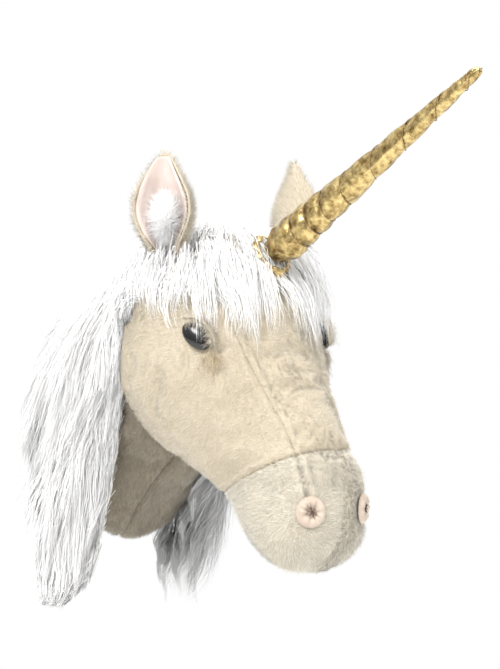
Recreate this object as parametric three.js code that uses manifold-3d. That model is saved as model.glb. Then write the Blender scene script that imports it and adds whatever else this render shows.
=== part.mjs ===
// A wall-hung plush unicorn head: a stuffed head and short neck on a plywood back board, with a
// gold lamé horn, two flexing ears, a long mane, and a swinging ring to hang it by.
// Millimetres. +Z is up, the wall is the plane Y = 0 and the head looks along -Y.
// Most places are given as (x, out, z), where out is the distance from the wall. The animal's
// right side is -X.
import * as THREE from "three";
import { mergeVertices } from "three/addons/utils/BufferGeometryUtils.js";
import Module from "manifold-3d";

const wasm = await Module();
wasm.setup();

// ---------------------------------------------------------------- driving dimensions
const GAP = 0.4; // between pieces that touch on the real object
const SEAM = 0.25; // each panel stops this far short of its seam line
const PLUSH = 2.4; // backing and pressed pile of the plush
const STUFFING_GAP = 1.4; // the stuffing is a coarser shape than the plush over it
const SATIN = 1.2;
const FELT = 1.2;

const BOARD = { halfWidth: 81, halfHeight: 96, thickness: 15 };
const POCKET = { width: 36, top: 66, bottom: 6, depth: 8.5, corner: 5 };
const STRAP = { width: 13, thickness: 1.2, top: 38, bottom: 13 };
const RING = { wire: 1.2, halfWidth: 11.5, drop: 24 };
const SCREW = { head: 2.9, headHeight: 1.4, shank: 1.25, length: 5.5 };

const HORN = { length: 270, base: [0, 175, 145], tilt: 32.5, widest: 18, tip: 4.4, waist: 11 };
const WRAP = { closePitch: 17.5, widePitch: 39, opensAt: 62, openBy: 132, first: 30, last: 262 };
const EAR = { height: 81, foot: 14, cup: 29, footArc: 23, arc: 43, wall: 3 };
const EYE = { long: 15, short: 10.5, rise: 7.5, shank: 2.6, shankLength: 15, washer: 9, sink: 4.8 };
const NOSTRIL = { radius: 13.5, thickness: 1.4 };

// Sections of the head from the poll (first) to the end of the muzzle (last). Each one lies in
// the plane through its front point and its back point, given as [out, z]. half is half its
// width. front and under are half the angle that the bridge gusset and the jaw gusset take.
const HEAD = [
  { front: [108, 166], back: [108, 166], half: 0, bridge: 42, under: 30 },
  { front: [149, 163], back: [64, 149], half: 50, bridge: 42, under: 27 },
  { front: [171, 149], back: [46, 119], half: 71, bridge: 39, under: 24 },
  { front: [184, 122], back: [38, 90], half: 82, bridge: 37, under: 22 },
  { front: [194, 95], back: [36, 58], half: 87, bridge: 36, under: 20 },
  { front: [204, 66], back: [43, 24], half: 85, bridge: 33, under: 22 },
  { front: [218, 38], back: [64, -6], half: 74, bridge: 33, under: 25 },
  { front: [236, 11], back: [100, -32], half: 60, bridge: 37, under: 28 },
  { front: [248, -14], back: [146, -58], half: 50, bridge: 41, under: 32 },
  { front: [257, -34], back: [162, -76], half: 51, bridge: 41, under: 32 },
  { front: [259, -60], back: [178, -94], half: 52, bridge: 41, under: 32 },
  { front: [254, -86], back: [202, -110], half: 48, bridge: 41, under: 32 },
  { front: [240, -106], back: [219, -117], half: 32, bridge: 41, under: 32 },
  { front: [229, -118], back: [229, -118], half: 0, bridge: 41, under: 32 },
];
const MUZZLE_SEAM = 8; // the section where the muzzle is sewn on
const SQUARE = 2.5; // 2 would be an ellipse
const ROWS_PER_SECTION = 2;
const COLUMNS = { bridge: 6, cheek: 8, under: 4 };

// Sections of the neck, from the wall outwards, each an ellipse in a plane parallel to the wall.
const NECK = [
  { out: 1.6, centre: 0, halfHeight: 100, halfWidth: 85 },
  { out: 19, centre: 0, halfHeight: 100, halfWidth: 85 },
  { out: 38, centre: 15, halfHeight: 94, halfWidth: 77 },
  { out: 60, centre: 31, halfHeight: 88, halfWidth: 70 },
  { out: 88, centre: 45, halfHeight: 78, halfWidth: 64 },
  { out: 112, centre: 55, halfHeight: 68, halfWidth: 58 },
];
const THROAT = { atWall: 9, atJaw: 27 }; // half the angle of the throat gusset, in degrees

// ---------------------------------------------------------------- small helpers
const rad = THREE.MathUtils.degToRad;
const lerp = THREE.MathUtils.lerp;
const smooth = THREE.MathUtils.smoothstep;
const steps = (from, to, count) =>
  Array.from({ length: count + 1 }, (_, i) => lerp(from, to, i / count));
const place = (x, out, z) => new THREE.Vector3(x, -out, z);

function finish(colour, roughness, metalness = 0) {
  return { color: colour, roughness, metalness };
}
const FINISH = {
  plush: finish(0xd2c2a8, 0.95),
  muzzle: finish(0xcdbfaa, 0.97),
  stuffing: finish(0xf2f0ea, 1),
  mane: finish(0xf7f6f2, 0.9),
  lame: finish(0xb8934a, 0.35, 0.85),
  satin: finish(0xe6cbbf, 0.45),
  thread: finish(0x6b5a3a, 0.8),
  eye: finish(0x0c0b0b, 0.08),
  washer: finish(0xe9e9e6, 0.5),
  plywood: finish(0xd8b98a, 0.7),
  felt: finish(0xd9cdb9, 1),
  steel: finish(0xb9bcc0, 0.35, 0.9),
};

// A surface sampled on a grid, as a body: rows of points, joined to the next row and, where
// the rows are rings, round to their own start.
function meshOf(points, triangles) {
  const geometry = new THREE.BufferGeometry().setFromPoints(points);
  geometry.setIndex(triangles);
  return mergeVertices(geometry, 1e-4);
}

function stitch(rows, columns, ring, index, flipped) {
  const triangles = [];
  const span = ring ? columns : columns - 1;
  for (let r = 0; r < rows - 1; r++) {
    for (let c = 0; c < span; c++) {
      const quad = [index(r, c), index(r + 1, c), index(r + 1, (c + 1) % columns)];
      quad.push(index(r, (c + 1) % columns));
      if (flipped) quad.reverse();
      triangles.push(quad[0], quad[1], quad[2], quad[0], quad[2], quad[3]);
    }
  }
  return triangles;
}

// Two layers of the same grid, the second under the first, closed round their edge.
function layered(outer, inner, height, width, ring = false) {
  const total = outer.length;
  const index = (r, c) => r * width + c;
  const triangles = [
    ...stitch(height, width, ring, index, false),
    ...stitch(height, width, ring, (r, c) => total + index(r, c), true),
  ];
  const border = [];
  const lastRing = height - 1;
  for (let c = 0; c < (ring ? width : width - 1); c++) {
    const next = (c + 1) % width;
    border.push([index(0, next), index(0, c)], [index(lastRing, c), index(lastRing, next)]);
  }
  for (let r = 0; r < lastRing && !ring; r++) {
    border.push([index(r, 0), index(r + 1, 0)], [index(r + 1, width - 1), index(r, width - 1)]);
  }
  for (const [a, b] of border) triangles.push(b, a, total + a, b, total + a, total + b);
  return solid(meshOf([...outer, ...inner], triangles));
}

function solid(geometry) {
  const plain = geometry.clone();
  plain.deleteAttribute("normal");
  plain.deleteAttribute("uv");
  const merged = mergeVertices(plain, 1e-4);
  const found = merged.index.array;
  const kept = [];
  for (let i = 0; i < found.length; i += 3) {
    const [a, b, c] = [found[i], found[i + 1], found[i + 2]];
    if (a !== b && b !== c && a !== c) kept.push(a, b, c);
  }
  const vertProperties = new Float32Array(merged.attributes.position.array);
  const triVerts = new Uint32Array(kept);
  const made = new wasm.Manifold(new wasm.Mesh({ numProp: 3, vertProperties, triVerts }));
  if (made.volume() > 0) return made;
  for (let i = 0; i < triVerts.length; i += 3) {
    [triVerts[i + 1], triVerts[i + 2]] = [triVerts[i + 2], triVerts[i + 1]];
  }
  return new wasm.Manifold(new wasm.Mesh({ numProp: 3, vertProperties, triVerts }));
}

function geometryOf(body) {
  const mesh = body.getMesh();
  const count = mesh.numProp;
  const positions = new Float32Array(mesh.numVert * 3);
  for (let i = 0; i < mesh.numVert; i++) {
    positions.set(mesh.vertProperties.subarray(i * count, i * count + 3), i * 3);
  }
  const geometry = new THREE.BufferGeometry();
  geometry.setAttribute("position", new THREE.BufferAttribute(positions, 3));
  geometry.setIndex(new THREE.BufferAttribute(mesh.triVerts, 1));
  geometry.computeVertexNormals();
  return geometry;
}

// The largest separate piece of a body, without the slivers that cuts leave.
const SLIVER = 0.05;
function largest(body) {
  return body.simplify(SLIVER).decompose().sort((a, b) => b.volume() - a.volume())[0];
}

const unicorn = new THREE.Group();
function add(name, body, look) {
  const geometry = body instanceof THREE.BufferGeometry ? body : geometryOf(largest(body));
  const mesh = new THREE.Mesh(geometry, new THREE.MeshStandardMaterial(look));
  mesh.name = name;
  unicorn.add(mesh);
  return mesh;
}

// A turned piece: its profile runs [radius, height] along an axis from a point.
function turned(profile, at, axis, segments = 20) {
  const points = profile.map(([r, h]) => new THREE.Vector2(r, h));
  const geometry = new THREE.LatheGeometry(points, segments);
  const turn = new THREE.Quaternion();
  turn.setFromUnitVectors(new THREE.Vector3(0, 1, 0), axis.clone().normalize());
  return geometry.applyQuaternion(turn).translate(at.x, at.y, at.z);
}

function ball(centre, radius, segments = 12) {
  const geometry = new THREE.SphereGeometry(radius, segments, Math.round(segments / 2));
  return solid(geometry.translate(centre.x, centre.y, centre.z));
}

// Catmull-Rom between the entries of a list of numbers.
function between(values, s) {
  const i = Math.min(Math.floor(s), values.length - 2);
  const at = (k) => values[THREE.MathUtils.clamp(k, 0, values.length - 1)];
  const [p0, p1, p2, p3] = [at(i - 1), at(i), at(i + 1), at(i + 2)];
  const t = s - i;
  const bend = (2 * p0 - 5 * p1 + 4 * p2 - p3) * t * t + (3 * p1 - p0 - 3 * p2 + p3) * t ** 3;
  return 0.5 * (2 * p1 + (p2 - p0) * t + bend);
}

// ---------------------------------------------------------------- the head's surface
const headList = (key, i) => HEAD.map((section) => (i === undefined ? section[key] : section[key][i]));
const HEAD_LISTS = {
  frontOut: headList("front", 0),
  frontZ: headList("front", 1),
  backOut: headList("back", 0),
  backZ: headList("back", 1),
  half: headList("half"),
  bridge: headList("bridge"),
  under: headList("under"),
};

// angle runs from the front midline, 0, round the right side to the back midline, 180 degrees.
function headPoint(s, angle) {
  const value = Object.fromEntries(
    Object.entries(HEAD_LISTS).map(([key, list]) => [key, between(list, s)]),
  );
  const across = Math.sin(angle);
  const along = Math.cos(angle);
  const reach = (Math.abs(across) ** SQUARE + Math.abs(along) ** SQUARE) ** (-1 / SQUARE);
  const share = (1 + along * reach) / 2;
  const out = lerp(value.backOut, value.frontOut, share);
  const z = lerp(value.backZ, value.frontZ, share);
  return place(-Math.max(value.half, 0) * across * reach, out, z);
}

// The columns of the head's grid follow its seams, so that a panel is a block of the grid.
function headColumns(s) {
  const bridge = rad(between(HEAD_LISTS.bridge, s));
  const under = rad(between(HEAD_LISTS.under, s));
  const stops = [
    [-bridge, bridge, COLUMNS.bridge],
    [bridge, Math.PI - under, COLUMNS.cheek],
    [Math.PI - under, Math.PI + under, COLUMNS.under],
    [Math.PI + under, 2 * Math.PI - bridge, COLUMNS.cheek],
  ];
  return stops.flatMap(([from, to, count]) =>
    Array.from({ length: count }, (_, i) => lerp(from, to, i / count)),
  );
}

// A grid of points and the outward direction at each of them.
function gridOf(rows, ringAt, pointAt) {
  const points = rows.map((row) => ringAt(row).map((angle) => pointAt(row, angle)));
  const count = points[0].length;
  const normals = points.map((ring, r) =>
    ring.map((p, c) => {
      const up = points[Math.max(r - 1, 0)];
      const down = points[Math.min(r + 1, points.length - 1)];
      const along = down[c].clone().sub(up[c]);
      const round = ring[(c + 1) % count].clone().sub(ring[(c + count - 1) % count]);
      return round.cross(along).normalize();
    }),
  );
  return { points, normals, count };
}

const headRows = Array.from(
  { length: (HEAD.length - 1) * ROWS_PER_SECTION + 1 },
  (_, i) => i / ROWS_PER_SECTION,
);
const headGrid = gridOf(headRows, headColumns, headPoint);
const lastRow = headRows.length - 1;

// At the poll and the end of the muzzle the rows shrink to a point, whose direction is the
// average of the row beside it.
for (const [pole, beside] of [
  [0, 1],
  [lastRow, lastRow - 1],
]) {
  const sum = new THREE.Vector3();
  headGrid.normals[beside].forEach((normal) => sum.add(normal));
  headGrid.normals[pole] = headGrid.normals[pole].map(() => sum.clone().normalize());
}

// The whole surface moved in or out, as one closed body, from every row or every few rows.
function wholeHead(offset, every = 1) {
  const { count } = headGrid;
  const points = headGrid.points.filter((_, r) => r % every === 0);
  const normals = headGrid.normals.filter((_, r) => r % every === 0);
  const moved = points.map((ring, r) =>
    ring.map((p, c) => p.clone().addScaledVector(normals[r][c], offset)),
  );
  const index = (r, c) => r * count + c;
  return solid(meshOf(moved.flat(), stitch(points.length, count, true, index, false)));
}

// A sewn panel: a block of a grid with the plush's thickness. Its edges stop at SEAM from the
// seam lines, except where open says that an edge is not a seam.
function panel(grid, rows, columns, thickness, ring = false) {
  const [r0, r1] = rows;
  const [c0, c1] = columns;
  const height = r1 - r0 + 1;
  const width = ring ? grid.count : c1 - c0 + 1;
  const at = (list, r, c) => list[r0 + r][(c0 + c) % grid.count];
  const outer = [];
  const inner = [];
  for (let r = 0; r < height; r++) {
    for (let c = 0; c < width; c++) {
      const p = at(grid.points, r, c).clone();
      const pull = new THREE.Vector3();
      const towards = (rr, cc) => {
        const step = at(grid.points, rr, cc).clone().sub(at(grid.points, r, c));
        if (step.length() > 1e-6) pull.addScaledVector(step.normalize(), SEAM);
      };
      const poleRow = at(grid.points, r, 0).distanceTo(at(grid.points, r, 1)) < 1e-6;
      if (poleRow && !ring) towards(r === 0 ? 1 : r - 1, Math.floor(width / 2));
      if (!poleRow && r === 0) towards(1, c);
      if (!poleRow && r === height - 1) towards(height - 2, c);
      if (!poleRow && !ring && c === 0) towards(r, 1);
      if (!poleRow && !ring && c === width - 1) towards(r, width - 2);
      p.add(pull);
      outer.push(p);
      inner.push(p.clone().addScaledVector(at(grid.normals, r, c), -thickness));
    }
  }
  return layered(outer, inner, height, width, ring);
}

// ---------------------------------------------------------------- the neck's surface
const neckList = (key) => NECK.map((section) => section[key]);
const NECK_LISTS = { out: neckList("out"), centre: neckList("centre") };
NECK_LISTS.halfHeight = neckList("halfHeight");
NECK_LISTS.halfWidth = neckList("halfWidth");

// angle runs from the crest, 0, round the right side to the throat, 180 degrees.
function neckPoint(s, angle) {
  const x = -between(NECK_LISTS.halfWidth, s) * Math.sin(angle);
  const rise = between(NECK_LISTS.halfHeight, s) * Math.cos(angle);
  return place(x, between(NECK_LISTS.out, s), between(NECK_LISTS.centre, s) + rise);
}

const NECK_COLUMNS = { side: 10, throat: 4 };
function neckColumns(s) {
  const throat = rad(lerp(THROAT.atWall, THROAT.atJaw, s / (NECK.length - 1)));
  const stops = [
    [0, Math.PI - throat, NECK_COLUMNS.side],
    [Math.PI - throat, Math.PI + throat, NECK_COLUMNS.throat],
    [Math.PI + throat, 2 * Math.PI, NECK_COLUMNS.side],
  ];
  return stops.flatMap(([from, to, count]) =>
    Array.from({ length: count }, (_, i) => lerp(from, to, i / count)),
  );
}
const neckRows = Array.from({ length: (NECK.length - 1) * 2 + 1 }, (_, i) => i / 2);
const neckGrid = gridOf(neckRows, neckColumns, neckPoint);

function neckBody(offset, fromOut) {
  const { points, normals, count } = neckGrid;
  const moved = points.map((ring, r) =>
    ring.map((p, c) => {
      const q = p.clone().addScaledVector(normals[r][c], offset);
      q.y = Math.min(q.y, -fromOut);
      return q;
    }),
  );
  const index = (r, c) => r * count + c;
  const flat = moved.flat();
  const triangles = stitch(moved.length, count, true, index, false);
  for (const [row, flipped] of [
    [0, false],
    [moved.length - 1, true],
  ]) {
    const centre = new THREE.Vector3();
    moved[row].forEach((p) => centre.addScaledVector(p, 1 / count));
    flat.push(centre);
    for (let c = 0; c < count; c++) {
      const edge = [index(row, c), index(row, (c + 1) % count)];
      if (flipped) edge.reverse();
      triangles.push(flat.length - 1, edge[0], edge[1]);
    }
  }
  return solid(meshOf(flat, triangles));
}

// ---------------------------------------------------------------- eyes and nostrils
// Where a fitting sits on the head: a point, the outward direction there, and the direction
// of its long side along the surface.
function seatOn(s, degrees, side, along) {
  const angle = rad(degrees);
  const step = 0.05;
  const p = headPoint(s, angle);
  const down = headPoint(s + step, angle).sub(headPoint(s - step, angle));
  const round = headPoint(s, angle + step).sub(headPoint(s, angle - step));
  const outward = round.cross(down).normalize();
  const long = along.clone().addScaledVector(outward, -along.dot(outward)).normalize();
  const mirror = new THREE.Vector3(-side, 1, 1);
  const flip = (vector) => vector.multiply(mirror);
  return { p: flip(p), outward: flip(outward), long: flip(long) };
}

function frameAt(seat) {
  const wide = new THREE.Vector3().crossVectors(seat.outward, seat.long);
  const basis = new THREE.Matrix4().makeBasis(seat.long, wide, seat.outward);
  return basis.setPosition(seat.p);
}

// A domed button with a flat underside, its long axis along local X. Its edge is rounded under.
const DOME = { steps: 5, flat: 0.94, edge: 0.9 };
function dome(long, short, rise, segments = 18) {
  const profile = [[0, rise]];
  for (const turn of steps(0, Math.PI / 2, DOME.steps).slice(1)) {
    profile.push([Math.sin(turn), rise * Math.cos(turn)]);
  }
  profile.push([DOME.flat, -DOME.edge], [0, -DOME.edge]);
  const points = profile.map(([r, h]) => new THREE.Vector2(r, h));
  const geometry = new THREE.LatheGeometry(points, segments).rotateX(Math.PI / 2);
  return geometry.scale(long, short, 1);
}

const SIDES = [
  ["right", -1],
  ["left", 1],
];
const EYE_PLACE = { s: 4.3, degrees: 56, along: place(0.25, 0.72, -0.66) };
const NOSTRIL_PLACE = { s: 10.1, degrees: 37, along: place(0, 0, 1) };
const eyeSeat = (side) => seatOn(EYE_PLACE.s, EYE_PLACE.degrees, side, EYE_PLACE.along);
const nostrilSeat = (side) =>
  seatOn(NOSTRIL_PLACE.s, NOSTRIL_PLACE.degrees, side, NOSTRIL_PLACE.along);

// The eye stands on the plush by its flat underside, and its shank goes in through the plush.
const EYE_LIFT = DOME.edge + GAP;
function eyeBody(side) {
  const placed = dome(EYE.long, EYE.short, EYE.rise).translate(0, 0, EYE_LIFT);
  const shank = new THREE.CylinderGeometry(EYE.shank, EYE.shank, EYE.shankLength, 12);
  shank.rotateX(Math.PI / 2).translate(0, 0, EYE_LIFT - EYE.shankLength / 2);
  const both = solid(placed).add(solid(shank));
  return solid(geometryOf(both).applyMatrix4(frameAt(eyeSeat(side))));
}
const WASHER_THICKNESS = 2;
function washerBody(side) {
  const depth = EYE.sink;
  const bore = EYE.shank + GAP;
  const profile = [
    [bore, -depth - WASHER_THICKNESS],
    [EYE.washer, -depth - WASHER_THICKNESS],
    [EYE.washer, -depth],
    [bore, -depth],
    [bore, -depth - WASHER_THICKNESS],
  ];
  const seat = eyeSeat(side);
  return solid(turned(profile, seat.p, seat.outward));
}
// What the plush and the stuffing leave free for the eye's shank and washer.
function eyeCut(side) {
  const seat = eyeSeat(side);
  const rod = (radius, from, to) => {
    const profile = [
      [0, from],
      [radius, from],
      [radius, to],
      [0, to],
    ];
    return solid(turned(profile, seat.p, seat.outward));
  };
  return {
    shank: rod(EYE.shank + GAP, -EYE.shankLength - 1, PLUSH),
    washer: rod(EYE.washer + GAP, -EYE.sink - GAP - WASHER_THICKNESS, -PLUSH),
  };
}

// An eyelid: a folded strip of plush over the upper back half of the eye, thin at both corners.
// hem is where its free edge lies, as a share of the eye's half size, and foot is its underside.
const LID = { bulge: 2.6, reach: 2.2, arc: [18, 162], steps: 14, thickness: 2.2, hem: 1.06, foot: 1.6 };
function lidBody(side) {
  const rings = [];
  for (let i = 0; i <= LID.steps; i++) {
    const share = i / LID.steps;
    const turn = rad(lerp(LID.arc[0], LID.arc[1], share));
    const full = 0.25 + 0.75 * Math.sin(Math.PI * share);
    const hem = LID.hem - 0.14 * full;
    const section = [
      [LID.hem, LID.foot],
      [LID.hem + 0.14 * full, LID.foot],
      [LID.hem + 0.1 * full, LID.foot + LID.thickness + LID.bulge * full],
      [hem, 3.4 + (EYE.rise - 0.6) * full],
      [hem, 2.6 + (EYE.rise - 1.2) * full],
    ];
    rings.push(
      section.map(([reach, height]) => {
        const x = Math.cos(turn) * (EYE.long + LID.reach) * reach;
        const y = -side * Math.sin(turn) * (EYE.short + LID.reach) * reach;
        return new THREE.Vector3(x, y, height);
      }),
    );
  }
  const count = rings[0].length;
  const index = (r, c) => r * count + c;
  const triangles = stitch(rings.length, count, true, index, false);
  for (let c = 1; c < count - 1; c++) {
    triangles.push(index(0, 0), index(0, c), index(0, c + 1));
    const end = rings.length - 1;
    triangles.push(index(end, 0), index(end, c + 1), index(end, c));
  }
  const flat = meshOf(rings.flat(), triangles);
  const body = solid(flat).subtract(
    solid(dome(EYE.long + GAP, EYE.short + GAP, EYE.rise + GAP).translate(0, 0, EYE_LIFT)),
  );
  return solid(geometryOf(largest(body)).applyMatrix4(frameAt(eyeSeat(side))));
}

// A satin disc that follows the muzzle, sunk towards its centre where the thread pulls it in.
const DISC_RINGS = 3;
const DISC_SIDES = 16;
const DISC_SINK = 2.4;
const MUZZLE_PILE = 1.6;
function discBody(side, grow = 0, deep = 0) {
  const seat = nostrilSeat(side);
  const radius = NOSTRIL.radius + grow;
  const matrix = frameAt(seat);
  const top = [];
  const bottom = [];
  for (let r = 0; r <= DISC_RINGS; r++) {
    for (let c = 0; c < DISC_SIDES; c++) {
      const turn = (c / DISC_SIDES) * 2 * Math.PI;
      const share = r / DISC_RINGS;
      const sunk = -DISC_SINK * (1 - smooth(share, 0, 0.7));
      const fall = -0.0085 * (share * radius) ** 2;
      const x = Math.cos(turn) * radius * share;
      const y = Math.sin(turn) * radius * share;
      const height = fall + MUZZLE_PILE + sunk;
      top.push(new THREE.Vector3(x, y, height + NOSTRIL.thickness + grow).applyMatrix4(matrix));
      bottom.push(new THREE.Vector3(x, y, height - grow - deep).applyMatrix4(matrix));
    }
  }
  const total = top.length;
  const index = (r, c) => r * DISC_SIDES + c;
  const triangles = [
    ...stitch(DISC_RINGS + 1, DISC_SIDES, true, index, false),
    ...stitch(DISC_RINGS + 1, DISC_SIDES, true, (r, c) => total + index(r, c), true),
  ];
  for (let c = 0; c < DISC_SIDES; c++) {
    const [a, b] = [index(DISC_RINGS, c), index(DISC_RINGS, (c + 1) % DISC_SIDES)];
    triangles.push(b, a, total + a, b, total + a, total + b);
  }
  return solid(meshOf([...top, ...bottom], triangles));
}

// Short stitches that meet in the middle of the disc.
const STITCH = { arms: 6, reach: 4.6, half: 0.4 };
function stitchBody(side) {
  const matrix = frameAt(nostrilSeat(side));
  const lift = MUZZLE_PILE + NOSTRIL.thickness - DISC_SINK + 2 * GAP;
  const knot = new THREE.SphereGeometry(1.3, 6, 4).scale(1, 1, 0.6).translate(0, 0, lift + 0.4);
  let body = solid(knot);
  for (let arm = 0; arm < STITCH.arms; arm++) {
    const turn = ((arm + 0.3) / STITCH.arms) * 2 * Math.PI;
    const bar = new THREE.BoxGeometry(STITCH.reach, 2 * STITCH.half, 2 * STITCH.half);
    bar.translate(STITCH.reach / 2, 0, 0).rotateY(rad(-14));
    bar.rotateZ(turn).translate(0, 0, lift + STITCH.half);
    body = body.add(solid(bar));
  }
  return solid(geometryOf(body).applyMatrix4(matrix));
}

// ---------------------------------------------------------------- horn
const hornAxis = place(0, Math.cos(rad(HORN.tilt)), Math.sin(rad(HORN.tilt)));
const hornBase = place(...HORN.base);
const hornSide = new THREE.Vector3(1, 0, 0);
const hornUp = new THREE.Vector3().crossVectors(hornSide, hornAxis);
const hornAt = (along, angle, radius) =>
  hornBase
    .clone()
    .addScaledVector(hornAxis, along)
    .addScaledVector(hornSide, Math.cos(angle) * radius)
    .addScaledVector(hornUp, Math.sin(angle) * radius);

// The stuffed radius of the horn before the thread is wound round it.
const HORN_FOOT = 7; // where the waist is
const HORN_FULL = 27; // where it is widest
function hornRadius(along) {
  if (along < HORN_FULL) return lerp(HORN.waist, HORN.widest, smooth(along, HORN_FOOT, HORN_FULL));
  const share = (along - HORN_FULL) / (HORN.length - HORN_FULL);
  const cone = lerp(HORN.widest, HORN.tip, share ** 0.92);
  return cone * Math.sqrt(Math.max(1 - smooth(share, 0.97, 1.02) ** 2, 0));
}

// Turns of the thread that lie below a place on the horn.
const TURN_STEP = 1;
const turnsAt = [0];
for (let along = 0; along < HORN.length; along += TURN_STEP) {
  const pitch = lerp(WRAP.closePitch, WRAP.widePitch, smooth(along, WRAP.opensAt, WRAP.openBy));
  turnsAt.push(turnsAt[turnsAt.length - 1] + TURN_STEP / pitch);
}
const turns = (along) => {
  const i = Math.min(Math.floor(along / TURN_STEP), turnsAt.length - 2);
  return lerp(turnsAt[i], turnsAt[i + 1], along / TURN_STEP - i);
};

const GROOVE = { depth: 0.15, width: 0.16 };
// How far the thread has been drawn tight at a place on the horn, 0 to 1.
function woundAt(along) {
  return smooth(along, WRAP.first - 8, WRAP.first) * (1 - smooth(along, WRAP.last, HORN.length));
}
function grooved(along, angle) {
  const phase = turns(along) - angle / (2 * Math.PI);
  const away = Math.abs(phase - Math.round(phase));
  const pinch = GROOVE.depth * Math.exp(-((away / GROOVE.width) ** 2)) * woundAt(along);
  return hornRadius(along) * (1 - pinch);
}

// The place along the horn that has a given number of turns below it.
function alongAt(wanted) {
  let [low, high] = [0, HORN.length];
  for (let i = 0; i < 30; i++) {
    const middle = (low + high) / 2;
    if (turns(middle) < wanted) low = middle;
    else high = middle;
  }
  return (low + high) / 2;
}

// Rings that lie straight across the horn.
const HORN_SIDES = 14;

function hornRings(stations, radiusAt) {
  return stations.map((along) =>
    Array.from({ length: HORN_SIDES }, (_, c) => {
      const angle = (c / HORN_SIDES) * 2 * Math.PI;
      return hornAt(along, angle, radiusAt(along));
    }),
  );
}
function closeRings(rings) {
  const count = rings[0].length;
  const index = (r, c) => r * count + c;
  return meshOf(rings.flat(), stitch(rings.length, count, true, index, false));
}

// The cover's outside is a grid that climbs with the thread, so that one line of it lies in the
// groove. A row runs once round the horn and meets the row one turn above it.
const ROWS_PER_TURN = 4;
function hornCover() {
  const top = turns(HORN.length);
  const bottom = turns(HORN_FOOT);
  const firstTurn = Math.floor(bottom) - 1;
  const rows = Math.ceil((top - firstTurn) * ROWS_PER_TURN) + 1;
  const total = (rows + ROWS_PER_TURN) * HORN_SIDES;
  const points = [];
  for (let q = 0; q < rows + ROWS_PER_TURN; q++) {
    for (let c = 0; c < HORN_SIDES; c++) {
      const angle = (c / HORN_SIDES) * 2 * Math.PI;
      const turn = firstTurn + c / HORN_SIDES + q / ROWS_PER_TURN;
      if (turn <= bottom) points.push(hornAt(HORN_FOOT, angle, grooved(HORN_FOOT, angle)));
      else if (turn >= top) points.push(hornAt(HORN.length, angle, 0));
      else points.push(hornAt(alongAt(turn), angle, grooved(alongAt(turn), angle)));
    }
  }
  const triangles = [];
  for (let q = 0; q < rows - 1; q++) {
    for (let c = 0; c < HORN_SIDES; c++) {
      const next = c + 1 < HORN_SIDES ? 1 : 1 - HORN_SIDES + ROWS_PER_TURN * HORN_SIDES;
      const a = q * HORN_SIDES + c;
      const [b, d] = [a + HORN_SIDES, a + next];
      triangles.push(a, b, b + next, a, b + next, d);
    }
  }
  // The inside runs back down from under the tip and ends on the rim of the foot.
  const inside = hornRings(steps(HORN.length - 8, HORN_FOOT, 12), (along) =>
    along > HORN.length - 8.5 ? 0 : hornRadius(along) * (1 - GROOVE.depth) - SATIN,
  );
  const rim = hornRings([HORN_FOOT], (along) => grooved(along, 0));
  const rings = [...inside, ...rim];
  const index = (r, c) => total + r * HORN_SIDES + c;
  triangles.push(...stitch(rings.length, HORN_SIDES, true, index, false));
  return solid(meshOf([...points, ...rings.flat()], triangles));
}
function hornFilling() {
  const last = HORN.length - 26;
  const rings = [
    ...hornRings([HORN_FOOT + 1], () => 0),
    ...hornRings(
      steps(HORN_FOOT + 1, last, 12),
      (along) => hornRadius(along) * (1 - GROOVE.depth) - SATIN - 2 * GAP,
    ),
    ...hornRings([last + 2], () => 0),
  ];
  return solid(closeRings(rings));
}

// The wound thread lies in the groove that it makes.
const THREAD = { radius: 0.55, sides: 4 };
const FIRST_TURN = Math.ceil(turns(WRAP.first) * HORN_SIDES) / HORN_SIDES;
const LAST_TURN = Math.floor(turns(WRAP.last) * HORN_SIDES) / HORN_SIDES;
class Winding extends THREE.Curve {
  getPoint(t, target = new THREE.Vector3()) {
    const turn = lerp(FIRST_TURN, LAST_TURN, t);
    const along = alongAt(turn);
    const radius = hornRadius(along) * (1 - GROOVE.depth * woundAt(along)) + THREAD.radius + GAP;
    return target.copy(hornAt(along, turn * 2 * Math.PI, radius));
  }
  // Even steps of the turn, so that the thread bends where the cover does.
  getPointAt(t, target) {
    return this.getPoint(t, target);
  }
  getTangentAt(t, target) {
    return this.getTangent(t, target);
  }
}
function regular(sides, radius) {
  const points = Array.from({ length: sides }, (_, i) => {
    const angle = (i / sides) * 2 * Math.PI;
    return new THREE.Vector2(Math.cos(angle) * radius, Math.sin(angle) * radius);
  });
  return new THREE.Shape(points);
}
function hornThread() {
  const count = Math.round((LAST_TURN - FIRST_TURN) * HORN_SIDES);
  const settings = { steps: count, extrudePath: new Winding(), bevelEnabled: false };
  return solid(new THREE.ExtrudeGeometry(regular(THREAD.sides, THREAD.radius), settings));
}

// The gathered collar that sews the horn to the forehead: a ruffled ring round its waist.
const COLLAR = { inner: 14.5, outer: 20.5, rise: 9, ruffles: 9, swell: 1.3 };
function collarBody() {
  const sides = 36;
  const profile = [
    [COLLAR.inner, -9],
    [COLLAR.outer - 3, -9],
    [COLLAR.outer, 1],
    [COLLAR.outer - 1.4, COLLAR.rise - 2.5],
    [COLLAR.inner + 1.8, COLLAR.rise - 1],
    [COLLAR.inner, COLLAR.rise - 4],
    [COLLAR.inner, -9],
  ];
  const rings = profile.map(([radius, along], i) =>
    Array.from({ length: sides }, (_, c) => {
      const angle = (c / sides) * 2 * Math.PI;
      const ruffle = i > 0 && i < 5 ? COLLAR.swell * Math.sin(COLLAR.ruffles * angle) : 0;
      return hornAt(along, angle, radius + ruffle);
    }),
  );
  return solid(closeRings(rings));
}

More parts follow.
